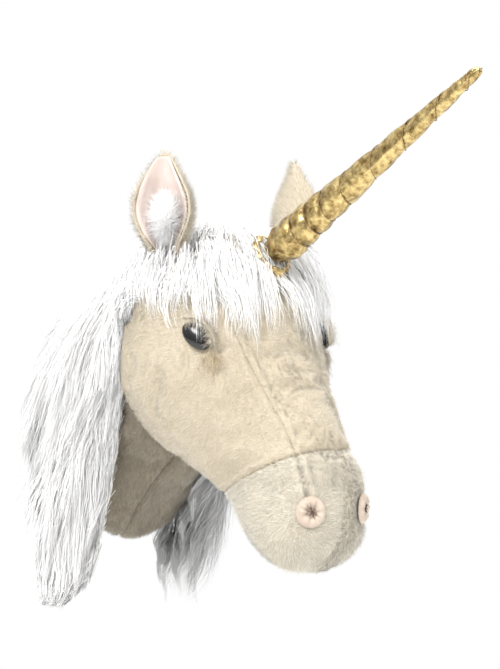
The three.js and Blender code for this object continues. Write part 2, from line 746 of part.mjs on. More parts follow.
// ---------------------------------------------------------------- ears
// The ear is a leaf of plush rolled round its own upright axis, open outwards and a little
// forwards.
const EAR_FOOT_AT = [-69, 127, 150];
const EAR_TIP_AT = [-93, 137, 225];
const EAR_OPEN = [-1, 0.3, 0];
function earFrame(side) {
  const flip = -side;
  const foot = place(EAR_FOOT_AT[0] * flip, EAR_FOOT_AT[1], EAR_FOOT_AT[2]);
  const tip = place(EAR_TIP_AT[0] * flip, EAR_TIP_AT[1], EAR_TIP_AT[2]);
  const up = tip.sub(foot).normalize();
  const open = place(EAR_OPEN[0] * flip, EAR_OPEN[1], EAR_OPEN[2]);
  open.addScaledVector(up, -open.dot(up)).normalize();
  const across = new THREE.Vector3().crossVectors(open, up).multiplyScalar(flip);
  return { foot, up, open, across };
}
// Half the width of the leaf at a height of 0 to 1, measured round the roll.
function earArc(v) {
  const full = smooth(v, -0.3, 0.42);
  const taper = Math.sqrt(Math.max(1 - (Math.max(v - 0.32, 0) / 0.68) ** 1.7, 0));
  return lerp(EAR.footArc * 0.75, EAR.arc, full) * taper;
}
const earRoll = (v) => lerp(EAR.foot, EAR.cup, smooth(v, 0, 0.45));
function earPoint(frame, v, across, depth) {
  const roll = earRoll(v);
  const angle = (earArc(v) / roll) * across;
  const radius = roll - depth;
  const height = v * EAR.height;
  return frame.foot
    .clone()
    .addScaledVector(frame.up, height)
    .addScaledVector(frame.open, roll * 0.45 - Math.cos(angle) * radius)
    .addScaledVector(frame.across, Math.sin(angle) * radius);
}
const EAR_ROWS = [0, 0.12, 0.26, 0.42, 0.58, 0.73, 0.86, 0.95, 0.995];
const EAR_COLUMNS = 8;
function earLayer(side, outside, inside, shrink) {
  const frame = earFrame(side);
  const rows = EAR_ROWS.map((v) => Math.max(v, shrink * 0.02) * (1 - 0.025 * shrink));
  const layer = (depth) =>
    rows.map((v) =>
      Array.from({ length: EAR_COLUMNS + 1 }, (_, c) => {
        const across = (2 * c) / EAR_COLUMNS - 1;
        return earPoint(frame, v, across * (1 - 0.05 * shrink), depth);
      }),
    );
  const outer = layer(outside);
  const inner = layer(inside);
  return layered(outer.flat(), inner.flat(), rows.length, EAR_COLUMNS + 1);
}
function earTuft(side) {
  const frame = earFrame(side);
  const basis = new THREE.Matrix4().makeBasis(frame.open, frame.across, frame.up);
  const centre = frame.foot.clone().addScaledVector(frame.up, 27).addScaledVector(frame.open, 3);
  const shape = new THREE.SphereGeometry(1, 10, 8).scale(9.5, 11, 19);
  if (basis.determinant() < 0) shape.scale(1, -1, 1);
  const body = solid(shape.applyMatrix4(basis.setPosition(centre)));
  return largest(body.subtract(earLayer(side, -GAP, EAR.wall + SATIN + 4 * GAP, 0)));
}

// ---------------------------------------------------------------- long-pile pieces
// The crown and forelock: one patch of long pile that covers the top of the head.
const CROWN = { from: 0, to: 3.7, halfAngle: 78, pile: 13, columns: 12 };
function crownBody() {
  const rows = steps(CROWN.from, CROWN.to, 7);
  const outer = [];
  const inner = [];
  for (const s of rows) {
    for (let c = 0; c <= CROWN.columns; c++) {
      const share = (2 * c) / CROWN.columns - 1;
      const angle = share * rad(CROWN.halfAngle);
      const p = headPoint(Math.max(s, 0.02), angle);
      const centre = headPoint(3, Math.PI / 2).setX(0);
      const outward = p.clone().sub(centre).normalize();
      const edge = Math.min(1 - smooth(Math.abs(share), 0.75, 1.05), 1 - smooth(s, 2.9, 3.95));
      outer.push(p.clone().addScaledVector(outward, 3 + CROWN.pile * edge));
      inner.push(p.clone().addScaledVector(outward, -6));
    }
  }
  return layered(outer, inner, rows.length, CROWN.columns + 1);
}

// One side of the mane: a curtain of long pile that starts on the crest and hangs down past
// the neck. Each section lies at one distance from the wall.
const MANE = {
  stations: [3, 16, 30, 44, 58, 72, 86, 100],
  right: { sweep: 47, low: [-148, -150, -146, -128, -62, 40, 88, 95] },
  left: { sweep: 28, low: [-146, -150, -148, -132, -70, 40, 88, 95] },
  crest: [26, 28, 32, 38, 45, 49, 53, 56],
};
const EDGE = 4; // how thick the long pile is where it runs out
const MANE_POINTS = 10;
// The left curtain also wraps round under the neck, up to this angle from the crest.
const MANE_WRAP = { right: 90, left: 172 };
const SIDE_AT = 0.5; // the share of a section's points that lie above the widest place
function maneSection(side, i) {
  const hand = side < 0 ? "right" : "left";
  const { sweep, low } = MANE[hand];
  const out = MANE.stations[i];
  const s = NECK_LISTS.out.findIndex((value) => value > out) - 1;
  const at = s + (out - NECK_LISTS.out[s]) / (NECK_LISTS.out[s + 1] - NECK_LISTS.out[s]);
  const halfWidth = between(NECK_LISTS.halfWidth, at) + 1;
  const halfHeight = between(NECK_LISTS.halfHeight, at) + 1;
  const centre = between(NECK_LISTS.centre, at);
  const bottom = low[i];
  const wraps = bottom < centre - halfHeight - 2 * EDGE;
  const last = wraps ? MANE_WRAP[hand] : 90;
  const inner = [];
  const outer = [];
  for (let k = 0; k <= MANE_POINTS; k++) {
    const down = k / MANE_POINTS;
    const turn = Math.min(down / SIDE_AT, 1) * (Math.PI / 2);
    const below = Math.max(down - SIDE_AT, 0) / (1 - SIDE_AT);
    const level = Math.max(centre, bottom + 20);
    const x = halfWidth * Math.sin(turn);
    const top = centre + halfHeight * Math.cos(turn);
    const z = lerp(Math.max(top, level), bottom, below);
    const wrapped = rad(lerp(90, last, below));
    const fringe = 1 - 0.55 * below ** 2;
    const spread = (sweep * Math.sin(turn) ** 0.7 * fringe + 2) * (1 - 0.4 * (out / 90) ** 2);
    const lift = MANE.crest[i] * Math.cos(turn);
    const high = z + 0.9 * lift + 1.5 * (1 - below);
    if (last > 90 && below > 0) {
      const hug = halfWidth * Math.sin(wrapped);
      inner.push(new THREE.Vector3(side * (hug + GAP), -out, centre + halfHeight * Math.cos(wrapped) - GAP));
      const tucked = lerp(x + spread, hug + EDGE, below ** 1.6);
      outer.push(new THREE.Vector3(side * tucked, -out, lerp(level, bottom, Math.min(1.5 * below, 1))));
    } else {
      inner.push(new THREE.Vector3(side * (x + GAP), -out, z));
      outer.push(new THREE.Vector3(side * (x + spread + GAP), -out, high));
    }
  }
  return [...inner, ...outer.reverse()];
}
function maneBody(side) {
  const rings = MANE.stations.map((_, i) => maneSection(side, i));
  const count = rings[0].length;
  const index = (r, c) => r * count + c;
  const triangles = stitch(rings.length, count, true, index, false);
  const half = count / 2;
  for (const [row, flipped] of [
    [0, false],
    [rings.length - 1, true],
  ]) {
    for (let k = 0; k < half - 1; k++) {
      const quad = [k, k + 1, count - 2 - k, count - 1 - k].map((c) => index(row, c));
      if (flipped) quad.reverse();
      triangles.push(quad[0], quad[1], quad[2], quad[0], quad[2], quad[3]);
    }
  }
  return solid(meshOf(rings.flat(), triangles));
}

// ---------------------------------------------------------------- back board and hanger
function oval(halfWidth, halfHeight, segments = 48) {
  const points = Array.from({ length: segments }, (_, i) => {
    const angle = (i / segments) * 2 * Math.PI;
    return new THREE.Vector2(halfWidth * Math.cos(angle), halfHeight * Math.sin(angle));
  });
  return new THREE.Shape(points);
}
// An outline in (x, z), made thick along -Y from a distance out of the wall.
function slab(shape, from, thickness) {
  const settings = { depth: thickness, bevelEnabled: false, curveSegments: 8 };
  const geometry = new THREE.ExtrudeGeometry(shape, settings);
  return solid(geometry.rotateX(Math.PI / 2).translate(0, -from, 0));
}
function pocketOutline(grow = 0) {
  const { width, top, bottom, corner } = POCKET;
  const [x, low, high] = [width / 2 + grow, bottom - grow, top + grow];
  const shape = new THREE.Shape();
  shape.moveTo(-x + corner, low);
  shape.lineTo(x - corner, low);
  shape.absarc(x - corner, low + corner, corner, -Math.PI / 2, 0);
  shape.lineTo(x, high - corner);
  shape.absarc(x - corner, high - corner, corner, 0, Math.PI / 2);
  shape.lineTo(-x + corner, high);
  shape.absarc(-x + corner, high - corner, corner, Math.PI / 2, Math.PI);
  shape.lineTo(-x, low + corner);
  shape.absarc(-x + corner, low + corner, corner, Math.PI, Math.PI * 1.5);
  return shape;
}

// The strap: a steel strip screwed to the pocket's floor, its upper end curled over the ring.
const POCKET_FLOOR = FELT + GAP + POCKET.depth;
const RING_BORE = RING.wire + 0.4;
const RING_PIVOT = { out: POCKET_FLOOR - RING_BORE - STRAP.thickness - GAP, z: STRAP.top };
function strapOutline() {
  const { thickness, bottom } = STRAP;
  const outer = RING_BORE + thickness;
  const floor = RING_PIVOT.out + outer;
  const shape = new THREE.Shape();
  const curl = steps(rad(90), rad(-110), 14);
  const lineTo = (radius, angle) =>
    shape.lineTo(
      RING_PIVOT.out + Math.sin(angle) * radius,
      RING_PIVOT.z + Math.cos(angle) * radius,
    );
  shape.moveTo(floor, bottom);
  for (const angle of curl) lineTo(outer, angle);
  for (const angle of curl.reverse()) lineTo(RING_BORE, angle);
  shape.lineTo(floor - thickness, bottom);
  return shape;
}
function strapBody() {
  const settings = { depth: STRAP.width, bevelEnabled: false };
  const geometry = new THREE.ExtrudeGeometry(strapOutline(), settings);
  // The outline is (out, z): out goes to -Y, z stays, and the depth goes to X.
  const columns = [place(0, 1, 0), place(0, 0, 1), place(1, 0, 0)];
  const matrix = new THREE.Matrix4().makeBasis(...columns).setPosition(-STRAP.width / 2, 0, 0);
  return solid(geometry.applyMatrix4(matrix));
}
const SCREW_HEIGHTS = { upper: 30.5, lower: 20.5 };
const screwAt = (z) => place(0, POCKET_FLOOR - GAP - STRAP.thickness, z);
function screwBody(z) {
  const { head, headHeight, shank, length } = SCREW;
  const profile = [
    [0, headHeight],
    [head * 0.55, headHeight * 0.9],
    [head, GAP],
    [head, GAP / 2],
    [shank, GAP / 2],
    [shank, -length + 2],
    [0, -length],
  ];
  const at = screwAt(z);
  const slot = new THREE.BoxGeometry(0.8, 2, head * 1.3).translate(0, at.y + headHeight + 0.35, at.z);
  return solid(turned(profile, at, place(0, -1, 0), 18)).subtract(solid(slot));
}
function screwHole(z) {
  const radius = SCREW.shank + SEAM;
  const profile = [
    [0, STRAP.thickness + 1],
    [radius, STRAP.thickness + 1],
    [radius, -SCREW.length - SEAM],
    [0, -SCREW.length - SEAM],
  ];
  return solid(turned(profile, screwAt(z), place(0, -1, 0), 18));
}

// The ring hangs down round the strap: a straight bar through the curl and a rounded bow.
class RingPath extends THREE.CurvePath {
  constructor() {
    super();
    const { halfWidth, drop } = RING;
    const corner = 4;
    const y = -RING_PIVOT.out;
    const at = (x, z) => new THREE.Vector3(x, y, RING_PIVOT.z + z);
    const line = (a, b) => this.add(new THREE.LineCurve3(a, b));
    const bend = (a, b, c) => this.add(new THREE.QuadraticBezierCurve3(a, b, c));
    line(at(0, 0), at(halfWidth - corner, 0));
    bend(at(halfWidth - corner, 0), at(halfWidth, 0), at(halfWidth, -corner));
    line(at(halfWidth, -corner), at(halfWidth, -drop + halfWidth));
    bend(at(halfWidth, -drop + halfWidth), at(halfWidth, -drop), at(0, -drop));
    bend(at(0, -drop), at(-halfWidth, -drop), at(-halfWidth, -drop + halfWidth));
    line(at(-halfWidth, -drop + halfWidth), at(-halfWidth, -corner));
    bend(at(-halfWidth, -corner), at(-halfWidth, 0), at(-halfWidth + corner, 0));
    line(at(-halfWidth + corner, 0), at(0, 0));
  }
}
function ringBody() {
  const path = new RingPath();
  const count = 36;
  const sides = 6;
  const side = new THREE.Vector3(0, 1, 0);
  const rings = Array.from({ length: count }, (_, i) => {
    const p = path.getPointAt(i / count);
    const along = path.getTangentAt(i / count);
    const across = new THREE.Vector3().crossVectors(along, side).normalize();
    return Array.from({ length: sides }, (_, k) => {
      const angle = (k / sides) * 2 * Math.PI;
      return p
        .clone()
        .addScaledVector(across, Math.cos(angle) * RING.wire)
        .addScaledVector(side, Math.sin(angle) * RING.wire);
    });
  });
  return solid(closeRings([...rings, rings[0]]));
}

// ---------------------------------------------------------------- assembly
const headOutside = wholeHead(GAP);
const headInside = wholeHead(-PLUSH - STUFFING_GAP, ROWS_PER_SECTION);
const neckInside = neckBody(-PLUSH - STUFFING_GAP, BOARD.thickness + FELT + 3 * GAP);
const neckRoom = neckBody(0, 0);
const eyeCuts = SIDES.map(([, side]) => eyeCut(side));
const cutEyes = (body, key) => eyeCuts.reduce((left, cut) => left.subtract(cut[key]), body);

// The board and what hangs on it.
const { halfWidth, halfHeight, thickness } = BOARD;
const pocket = slab(pocketOutline(), -1, POCKET_FLOOR + 1);
let board = slab(oval(halfWidth, halfHeight), FELT + GAP, thickness).subtract(pocket);
for (const z of Object.values(SCREW_HEIGHTS)) board = board.subtract(screwHole(z));
add("back_board", board, FINISH.plywood);
const felt = slab(oval(halfWidth + 1.5, halfHeight + 1.5), 0, FELT);
add("back_felt", felt.subtract(slab(pocketOutline(1), -1, FELT + 2)), FINISH.felt);
let strap = strapBody();
for (const z of Object.values(SCREW_HEIGHTS)) strap = strap.subtract(screwHole(z));
add("hanger_strap", strap, FINISH.steel);
for (const [name, z] of Object.entries(SCREW_HEIGHTS)) {
  add("hanger_screw_" + name, screwBody(z), FINISH.steel);
}
add("hanger_ring", ringBody(), FINISH.steel);

// Neck skins, which stop where they meet the head.
const { side: sideColumns, throat: throatColumns } = NECK_COLUMNS;
const neckEnd = neckRows.length - 1;
const neckPanels = {
  neck_skin_right: [0, sideColumns],
  throat_gusset: [sideColumns, sideColumns + throatColumns],
  neck_skin_left: [sideColumns + throatColumns, 2 * sideColumns + throatColumns],
};
for (const [name, columns] of Object.entries(neckPanels)) {
  add(name, panel(neckGrid, [0, neckEnd], columns, PLUSH).subtract(headOutside), FINISH.plush);
}

// Head panels, which are open at the back, where the stuffing runs on into the neck.
const seamRow = MUZZLE_SEAM * ROWS_PER_SECTION;
const { bridge, cheek, under } = COLUMNS;
const panelRows = { jaw_gusset: [9, seamRow], poll_gusset: [0, 7] };
const headPanels = {
  bridge_gusset: [0, bridge],
  cheek_panel_right: [bridge, bridge + cheek],
  jaw_gusset: [bridge + cheek, bridge + cheek + under],
  poll_gusset: [bridge + cheek, bridge + cheek + under],
  cheek_panel_left: [bridge + cheek + under, bridge + 2 * cheek + under],
};
for (const [name, columns] of Object.entries(headPanels)) {
  const rows = panelRows[name] ?? [0, seamRow];
  const body = panel(headGrid, rows, columns, PLUSH);
  add(name, cutEyes(body, "shank").subtract(neckRoom), FINISH.plush);
}
const muzzle = panel(headGrid, [seamRow, lastRow], [0, headGrid.count], PLUSH, true);
const discRooms = SIDES.map(([, side]) => discBody(side, GAP, 0));
add("muzzle_cap", discRooms.reduce((left, room) => left.subtract(room), muzzle), FINISH.muzzle);
const stuffing = cutEyes(cutEyes(headInside.add(neckInside), "shank"), "washer");
add("stuffing", stuffing, FINISH.stuffing);

// Fittings of the face.
for (const [name, side] of SIDES) {
  add("eye_" + name, eyeBody(side), FINISH.eye);
  add("eye_washer_" + name, washerBody(side), FINISH.washer);
  add("eyelid_" + name, lidBody(side), FINISH.plush);
  add("nostril_disc_" + name, discBody(side), FINISH.satin);
  add("nostril_stitch_" + name, stitchBody(side), FINISH.thread);
}

// Long pile.
const hornRoom = solid(
  turned(
    [
      [0, -14],
      [COLLAR.outer + 1.8, -14],
      [COLLAR.outer + 1.8, 3],
      [COLLAR.outer + 7, 12],
      [COLLAR.outer + 16, 34],
      [0, 34],
    ],
    hornBase,
    hornAxis,
    14,
  ),
);
const EAR_ROOM = { height: 10, radius: 27 };
const earRooms = SIDES.map(([, side]) => {
  const { foot, up } = earFrame(side);
  return ball(foot.addScaledVector(up, EAR_ROOM.height), EAR_ROOM.radius);
});
const EYE_ROOM = 24;
const eyeRooms = SIDES.map(([, side]) => ball(eyeSeat(side).p, EYE_ROOM));
let crown = crownBody().subtract(headOutside).subtract(neckBody(GAP, 0)).subtract(hornRoom);
for (const room of [...earRooms, ...eyeRooms]) crown = crown.subtract(room);
add("forelock", crown, FINISH.mane);
const crownRoom = crownBody();
for (const [name, side] of SIDES) {
  let mane = maneBody(side).subtract(headOutside).subtract(neckBody(GAP, 0)).subtract(crownRoom);
  for (const room of earRooms) mane = mane.subtract(room);
  add("mane_" + name, mane, FINISH.mane);
}

// Horn.
add("horn_collar", collarBody().subtract(headOutside), FINISH.lame);
add("horn_cover", hornCover(), FINISH.lame);
add("horn_filling", hornFilling(), FINISH.stuffing);
add("horn_thread", hornThread(), FINISH.thread);

// Ears.
for (const [name, side] of SIDES) {
  add("ear_shell_" + name, earLayer(side, 0, EAR.wall, 0), FINISH.plush);
  const lining = EAR.wall + 3 * GAP;
  add("ear_lining_" + name, earLayer(side, lining, lining + SATIN, 1), FINISH.satin);
  add("ear_tuft_" + name, earTuft(side), FINISH.mane);
}

export default unicorn;
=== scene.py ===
# %% [markdown]
# # A plush unicorn head on its back board
#
# The real thing is a stuffed toy: a sewn and stuffed head on a short neck, with a wound gold horn,
# lined ears, glossy eyes and a long white mane. The wood, the felt and the hanger behind it are
# finished modelled parts. Everything soft is made here, around the plain solids of the frame.
# All lengths are in metres. The wall is the plane Y = 0, the head looks along -Y and +Z is up.

import math

import bmesh
import bpy
import numpy as np
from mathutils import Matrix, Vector, kdtree, noise
from mathutils.bvhtree import BVHTree


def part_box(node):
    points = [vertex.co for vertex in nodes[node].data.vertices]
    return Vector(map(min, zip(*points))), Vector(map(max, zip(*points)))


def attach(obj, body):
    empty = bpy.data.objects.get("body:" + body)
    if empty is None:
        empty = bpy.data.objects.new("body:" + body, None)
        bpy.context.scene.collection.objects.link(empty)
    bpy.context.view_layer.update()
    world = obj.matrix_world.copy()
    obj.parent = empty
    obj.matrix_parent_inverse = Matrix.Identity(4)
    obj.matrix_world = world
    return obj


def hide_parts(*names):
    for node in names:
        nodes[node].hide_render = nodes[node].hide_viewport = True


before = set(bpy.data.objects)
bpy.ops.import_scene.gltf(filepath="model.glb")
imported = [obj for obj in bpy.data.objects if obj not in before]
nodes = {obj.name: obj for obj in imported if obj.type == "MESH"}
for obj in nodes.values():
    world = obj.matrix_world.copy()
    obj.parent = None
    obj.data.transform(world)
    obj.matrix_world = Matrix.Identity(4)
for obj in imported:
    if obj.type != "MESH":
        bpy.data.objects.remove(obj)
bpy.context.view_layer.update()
MM = 0.001

# %% [markdown]
# ## Mixing a finish
# Every finish is one Principled shader fed by a few pattern nodes. Sums between patterns are
# written as Python expressions: a Tone wraps a socket, and adding or multiplying Tones adds the
# Math nodes. Numbers that are the same all over the piece go straight on the shader.

# %% Tone and Finish


class Tone:
    """A pattern's value, which can be used in sums."""

    def __init__(self, finish, socket):
        self.finish, self.socket = finish, socket

    def __add__(self, other):
        return self.finish.sum("ADD", self, other)

    def __radd__(self, other):
        return self.finish.sum("ADD", other, self)

    def __sub__(self, other):
        return self.finish.sum("SUBTRACT", self, other)

    def __rsub__(self, other):
        return self.finish.sum("SUBTRACT", other, self)

    def __mul__(self, other):
        return self.finish.sum("MULTIPLY", self, other)

    def __rmul__(self, other):
        return self.finish.sum("MULTIPLY", other, self)

    def __pow__(self, other):
        return self.finish.sum("POWER", self, other)


class Finish:
    """A material with one Principled shader."""

    def __init__(self, name, **shader):
        self.material = bpy.data.materials.new(name)
        self.material.use_nodes = True
        self.tree = self.material.node_tree
        self.tree.nodes.clear()
        self.shader = self.node("ShaderNodeBsdfPrincipled", {}, shader)
        out = self.tree.nodes.new("ShaderNodeOutputMaterial")
        self.tree.links.new(self.shader.outputs[0], out.inputs["Surface"])
        self.places = self.node("ShaderNodeTexCoord").outputs["Object"]

    def node(self, kind, settings=None, sockets=None):
        made = self.tree.nodes.new(kind)
        for key, value in (settings or {}).items():
            if key == "stops":
                while len(made.color_ramp.elements) < len(value):
                    made.color_ramp.elements.new(0.5)
                for element, (at, colour) in zip(made.color_ramp.elements, value):
                    element.position, element.color = at, (*colour, 1)
            else:
                setattr(made, key, value)
        for key, value in (sockets or {}).items():
            key = key.replace("_", " ") if isinstance(key, str) else key
            self.feed(made.inputs[key], value)
        return made

    def feed(self, socket, value):
        if isinstance(value, Tone):
            value = value.socket
        if isinstance(value, bpy.types.NodeSocket):
            self.tree.links.new(value, socket)
        elif socket.type == "RGBA":
            socket.default_value = (*value[:3], 1)
        else:
            socket.default_value = value

    def sum(self, operation, a, b):
        made = self.node("ShaderNodeMath", {"operation": operation}, {0: a, 1: b})
        return Tone(self, made.outputs[0])

    def cloud(self, scale, detail=3, roughness=0.55, stretch=None, at=None):
        """A soft noise, 0 to 1, with a scale in cells per metre."""
        at = at or self.places
        if stretch:
            at = self.node("ShaderNodeMapping", {}, {"Vector": at, "Scale": stretch}).outputs[0]
        sockets = {"Vector": at, "Scale": scale, "Detail": detail, "Roughness": roughness}
        return Tone(self, self.node("ShaderNodeTexNoise", {}, sockets).outputs[0])

    def between(self, low, high, value):
        """value spread so that low becomes 0 and high becomes 1."""
        made = self.node("ShaderNodeMapRange", {}, {"Value": value, "From_Min": low, "From_Max": high})
        return Tone(self, made.outputs[0])

    def blend(self, share, colour, other):
        made = self.node("ShaderNodeMix", {"data_type": "RGBA"})
        self.feed(made.inputs[0], share)
        self.feed(made.inputs[6], colour)
        self.feed(made.inputs[7], other)
        return made.outputs[2]

    def paint(self, colour):
        self.feed(self.shader.inputs["Base Color"], colour)
        return self

    def rough(self, value):
        self.feed(self.shader.inputs["Roughness"], value)
        return self

    def relief(self, height, depth, strength=1.0):
        sockets = {"Height": height, "Distance": depth, "Strength": strength}
        bump = self.node("ShaderNodeBump", {}, sockets)
        self.feed(self.shader.inputs["Normal"], bump.outputs[0])
        return self


def rgb(red, green, blue):
    """A colour of 0 to 255, as the eye reads it, in the linear values of a shader."""
    return tuple(((v / 255 + 0.055) / 1.055) ** 2.4 if v > 10 else v / 255 / 12.92 for v in (red, green, blue))


# %% [markdown]
# ## The finishes of plush, satin and lamé
# Plush is a cloth with a cut pile. The cloth under the pile gets a speckled colour, darker than
# the fibres as painted shade among their roots, and a very fine bump, and its sheen is a constant
# of the shader. The fibres themselves are real blades, made further down, in three tones of each colour.

# %% Plush, satin, lamé and thread


def plush_cloth(name, light, dark):
    finish = Finish(name, Sheen_Weight=0.25, Sheen_Roughness=0.5)
    patches = finish.between(0.3, 0.7, finish.cloud(38, 2))
    fibres = finish.cloud(1500, 2)
    finish.paint(finish.blend(patches * 0.35 + fibres * 0.65, dark, light))
    finish.rough(0.85 + 0.12 * fibres)
    return finish.relief(fibres, 0.0006, 0.9).material


def satin_cloth(name, shaded, lit):
    finish = Finish(name, Sheen_Weight=0.15)
    folds = finish.cloud(90, 3, stretch=(1, 1, 0.35))
    threads = finish.cloud(2600, 1, stretch=(1, 1, 0.12))
    finish.paint(finish.blend(folds, rgb(*shaded), rgb(*lit)))
    finish.rough(0.36 + 0.16 * folds)
    return finish.relief(folds + 0.12 * threads, 0.0011, 0.8).material


def lame_cloth():
    finish = Finish("gold_lame", Metallic=1.0)
    crinkle_and_painted_shade = finish.cloud(170, 4, 0.6)
    crush = finish.cloud(55, 2)
    weave = finish.cloud(2200, 1)
    # The gold turns dark brown where the crinkles sink: painted shade and painted dark reflection in their hollows.
    finish.paint(finish.blend(finish.between(0.3, 0.7, crinkle_and_painted_shade), rgb(108, 83, 40), rgb(226, 202, 142)))
    finish.rough(0.22 + 0.16 * crush + 0.06 * weave)
    return finish.relief(crinkle_and_painted_shade * 0.7 + crush * 0.9 + weave * 0.03, 0.0018, 0.7).material


def thread_of(name, light, dark):
    finish = Finish(name, Sheen_Weight=0.2)
    plies = finish.cloud(1500, 2)
    finish.paint(finish.blend(plies, dark, light)).rough(0.55 + 0.2 * plies)
    return finish.relief(plies, 0.0003).material


# The cloths are darker than their fibres' tones further down: painted shade among the roots of the pile.
HEAD_CLOTH = plush_cloth("head_plush_cloth", rgb(205, 193, 171), rgb(172, 158, 134))
# The neck's cloth is darker than the head's: painted shade, the shade that falls on the neck under the head.
NECK_CLOTH_PAINTED_SHADE = plush_cloth("neck_plush_cloth_painted_shade", rgb(138, 129, 112), rgb(104, 95, 80))
MUZZLE_CLOTH = plush_cloth("muzzle_plush_cloth", rgb(203, 195, 177), rgb(170, 160, 140))
WHITE_CLOTH = plush_cloth("white_fur_backing", rgb(244, 243, 240), rgb(214, 211, 205))
SATIN = satin_cloth("pale_pink_satin", (188, 168, 159), (226, 212, 205))
NOSTRIL_SATIN = satin_cloth("dusty_pink_satin", (172, 152, 136), (206, 191, 175))
LAME = lame_cloth()
GOLD_THREAD = thread_of("gold_brown_thread", rgb(150, 122, 70), rgb(84, 64, 34))
DARK_THREAD = thread_of("dark_brown_thread", rgb(92, 58, 48), rgb(52, 30, 26))
print("soft finishes", len(bpy.data.materials))

# %% [markdown]
# ## The hard finishes
# Moulded plastic, raw plywood, pressed felt and plated steel. Plywood shows its rings on the face
# and its layers on the edge. The steel is brushed along the strap, so its noise is stretched.

# %% Eyes, wood, felt, steel and filling


def eye_plastic():
    finish = Finish("glossy_black_eye", Coat_Weight=0.25, Coat_Roughness=0.12)
    haze = finish.cloud(260, 2)
    finish.paint(finish.blend(haze, rgb(5, 5, 6), rgb(16, 14, 14)))
    return finish.rough(0.2 + 0.08 * haze).material


def washer_plastic():
    finish = Finish("white_washer_plastic")
    flow = finish.cloud(220, 2)
    finish.paint(finish.blend(flow, rgb(214, 213, 208), rgb(232, 232, 229)))
    return finish.rough(0.4 + 0.15 * flow).relief(flow, 0.0001).material


def plywood():
    finish = Finish("raw_plywood")
    grain = finish.cloud(60, 5, 0.6, stretch=(6, 1, 0.35))
    pores = finish.cloud(420, 2, stretch=(4, 1, 0.2))
    layers = finish.node("ShaderNodeTexWave", {"bands_direction": "Y"}, {"Scale": 95, "Distortion": 1.2})
    finish.feed(layers.inputs["Vector"], finish.places)
    layer = Tone(finish, layers.outputs["Fac"])
    wood = finish.blend(grain * 0.7 + layer * 0.3, rgb(176, 138, 90), rgb(222, 190, 143))
    finish.paint(finish.blend(finish.between(0.62, 0.8, pores) * 0.5, wood, rgb(140, 104, 64)))
    return finish.rough(0.6 + 0.2 * grain).relief(grain + pores * 0.5, 0.0004).material


def felt():
    finish = Finish("beige_felt", Sheen_Weight=0.3)
    fibres = finish.cloud(900, 4, 0.7)
    finish.paint(finish.blend(fibres, rgb(178, 164, 140), rgb(216, 203, 181)))
    return finish.rough(0.9 + 0.08 * fibres).relief(fibres, 0.0006).material


def steel():
    finish = Finish("plated_steel", Metallic=1.0)
    brushed = finish.cloud(500, 3, stretch=(4, 4, 0.15))
    worn = finish.cloud(130, 3)
    finish.paint(finish.blend(worn, rgb(158, 160, 164), rgb(198, 200, 203)))
    return finish.rough(0.25 + 0.2 * brushed + 0.1 * worn).relief(brushed, 0.0001).material


def fibre_filling():
    finish = Finish("fibre_filling", Sheen_Weight=0.4)
    tufts = finish.cloud(140, 5, 0.65)
    finish.paint(finish.blend(tufts, rgb(224, 222, 216), rgb(250, 249, 246)))
    return finish.rough(0.92 + 0.05 * tufts).relief(tufts, 0.003).material


HARD = {
    "back_board": plywood(),
    "back_felt": felt(),
    "stuffing": fibre_filling(),
}
PLATED = steel()
for part in ("hanger_strap", "hanger_screw_upper", "hanger_screw_lower", "hanger_ring"):
    HARD[part] = PLATED
WASHER = washer_plastic()
for part in ("eye_washer_right", "eye_washer_left"):
    HARD[part] = WASHER
HARD["horn_filling"] = HARD["stuffing"]
EYE = eye_plastic()
for part, material in HARD.items():
    nodes[part].data.materials.clear()
    nodes[part].data.materials.append(material)
print("carried over with a finish:", sorted(HARD))

# %% [markdown]
# ## Helpers for pieces
# A frame part is loose triangles, so a copy is merged before it is worked on. A finished piece is
# a new object at the origin, whose mesh holds its place.

# %% Pieces from meshes


def merged(*parts):
    bm = bmesh.new()
    for part in parts:
        bm.from_mesh(nodes[part].data)
    bmesh.ops.remove_doubles(bm, verts=bm.verts, dist=1e-5)
    return bm


def piece_of(name, bm, *materials, smooth=True):
    mesh = bpy.data.meshes.new(name)
    bm.to_mesh(mesh)
    bm.free()
    return object_of(name, mesh, *materials, smooth=smooth)


def object_of(name, mesh, *materials, smooth=True):
    for extra in ("custom_normal", "sharp_face"):
        if extra in mesh.attributes:
            mesh.attributes.remove(mesh.attributes[extra])
    for material in materials:
        mesh.materials.append(material)
    if smooth:
        mesh.shade_smooth()
    made = bpy.data.objects.new(name, mesh)
    bpy.context.scene.collection.objects.link(made)
    return made


def settled(made):
    """The piece's mesh with its modifiers applied."""
    bpy.context.view_layer.update()
    graph = bpy.context.evaluated_depsgraph_get()
    mesh = bpy.data.meshes.new_from_object(made.evaluated_get(graph))
    old = made.data
    made.modifiers.clear()
    made.data = mesh
    bpy.data.meshes.remove(old)
    return made


def subdivided(made, levels=1):
    rounded = made.modifiers.new("rounded", "SUBSURF")
    rounded.levels = rounded.render_levels = levels
    return settled(made)


def corners(mesh, field="vertices"):
    values = np.empty(len(getattr(mesh, field)) * 3)
    getattr(mesh, field).foreach_get("co", values)
    return values.reshape(-1, 3)


def normals_of(mesh):
    values = np.empty(len(mesh.vertices) * 3)
    mesh.vertex_normals.foreach_get("vector", values)
    return values.reshape(-1, 3)


def set_corners(mesh, places):
    mesh.vertices.foreach_set("co", places.ravel())
    mesh.update()


def ease(low, high, value):
    share = np.clip((value - low) / (high - low), 0, 1)
    return share * share * (3 - 2 * share)


def nearest_on(tree, points):
    """The closest place on a surface to each point, and how far it is."""
    found = [tree.find_nearest(Vector(p)) for p in points]
    return np.array([f[0] for f in found]), np.array([f[3] for f in found])


print("helpers ready")

# %% [markdown]
# ## The plush skin
# The head and the neck are sewn from cut panels and stuffed, so the cloth bulges between its
# seams. A cloth simulation gives that: the panels are joined into one form, remeshed to even
# quads, held along the seams and round the fittings, and blown up from inside. The form starts a
# little small, because it swells. Its open back stays on the board's rim.

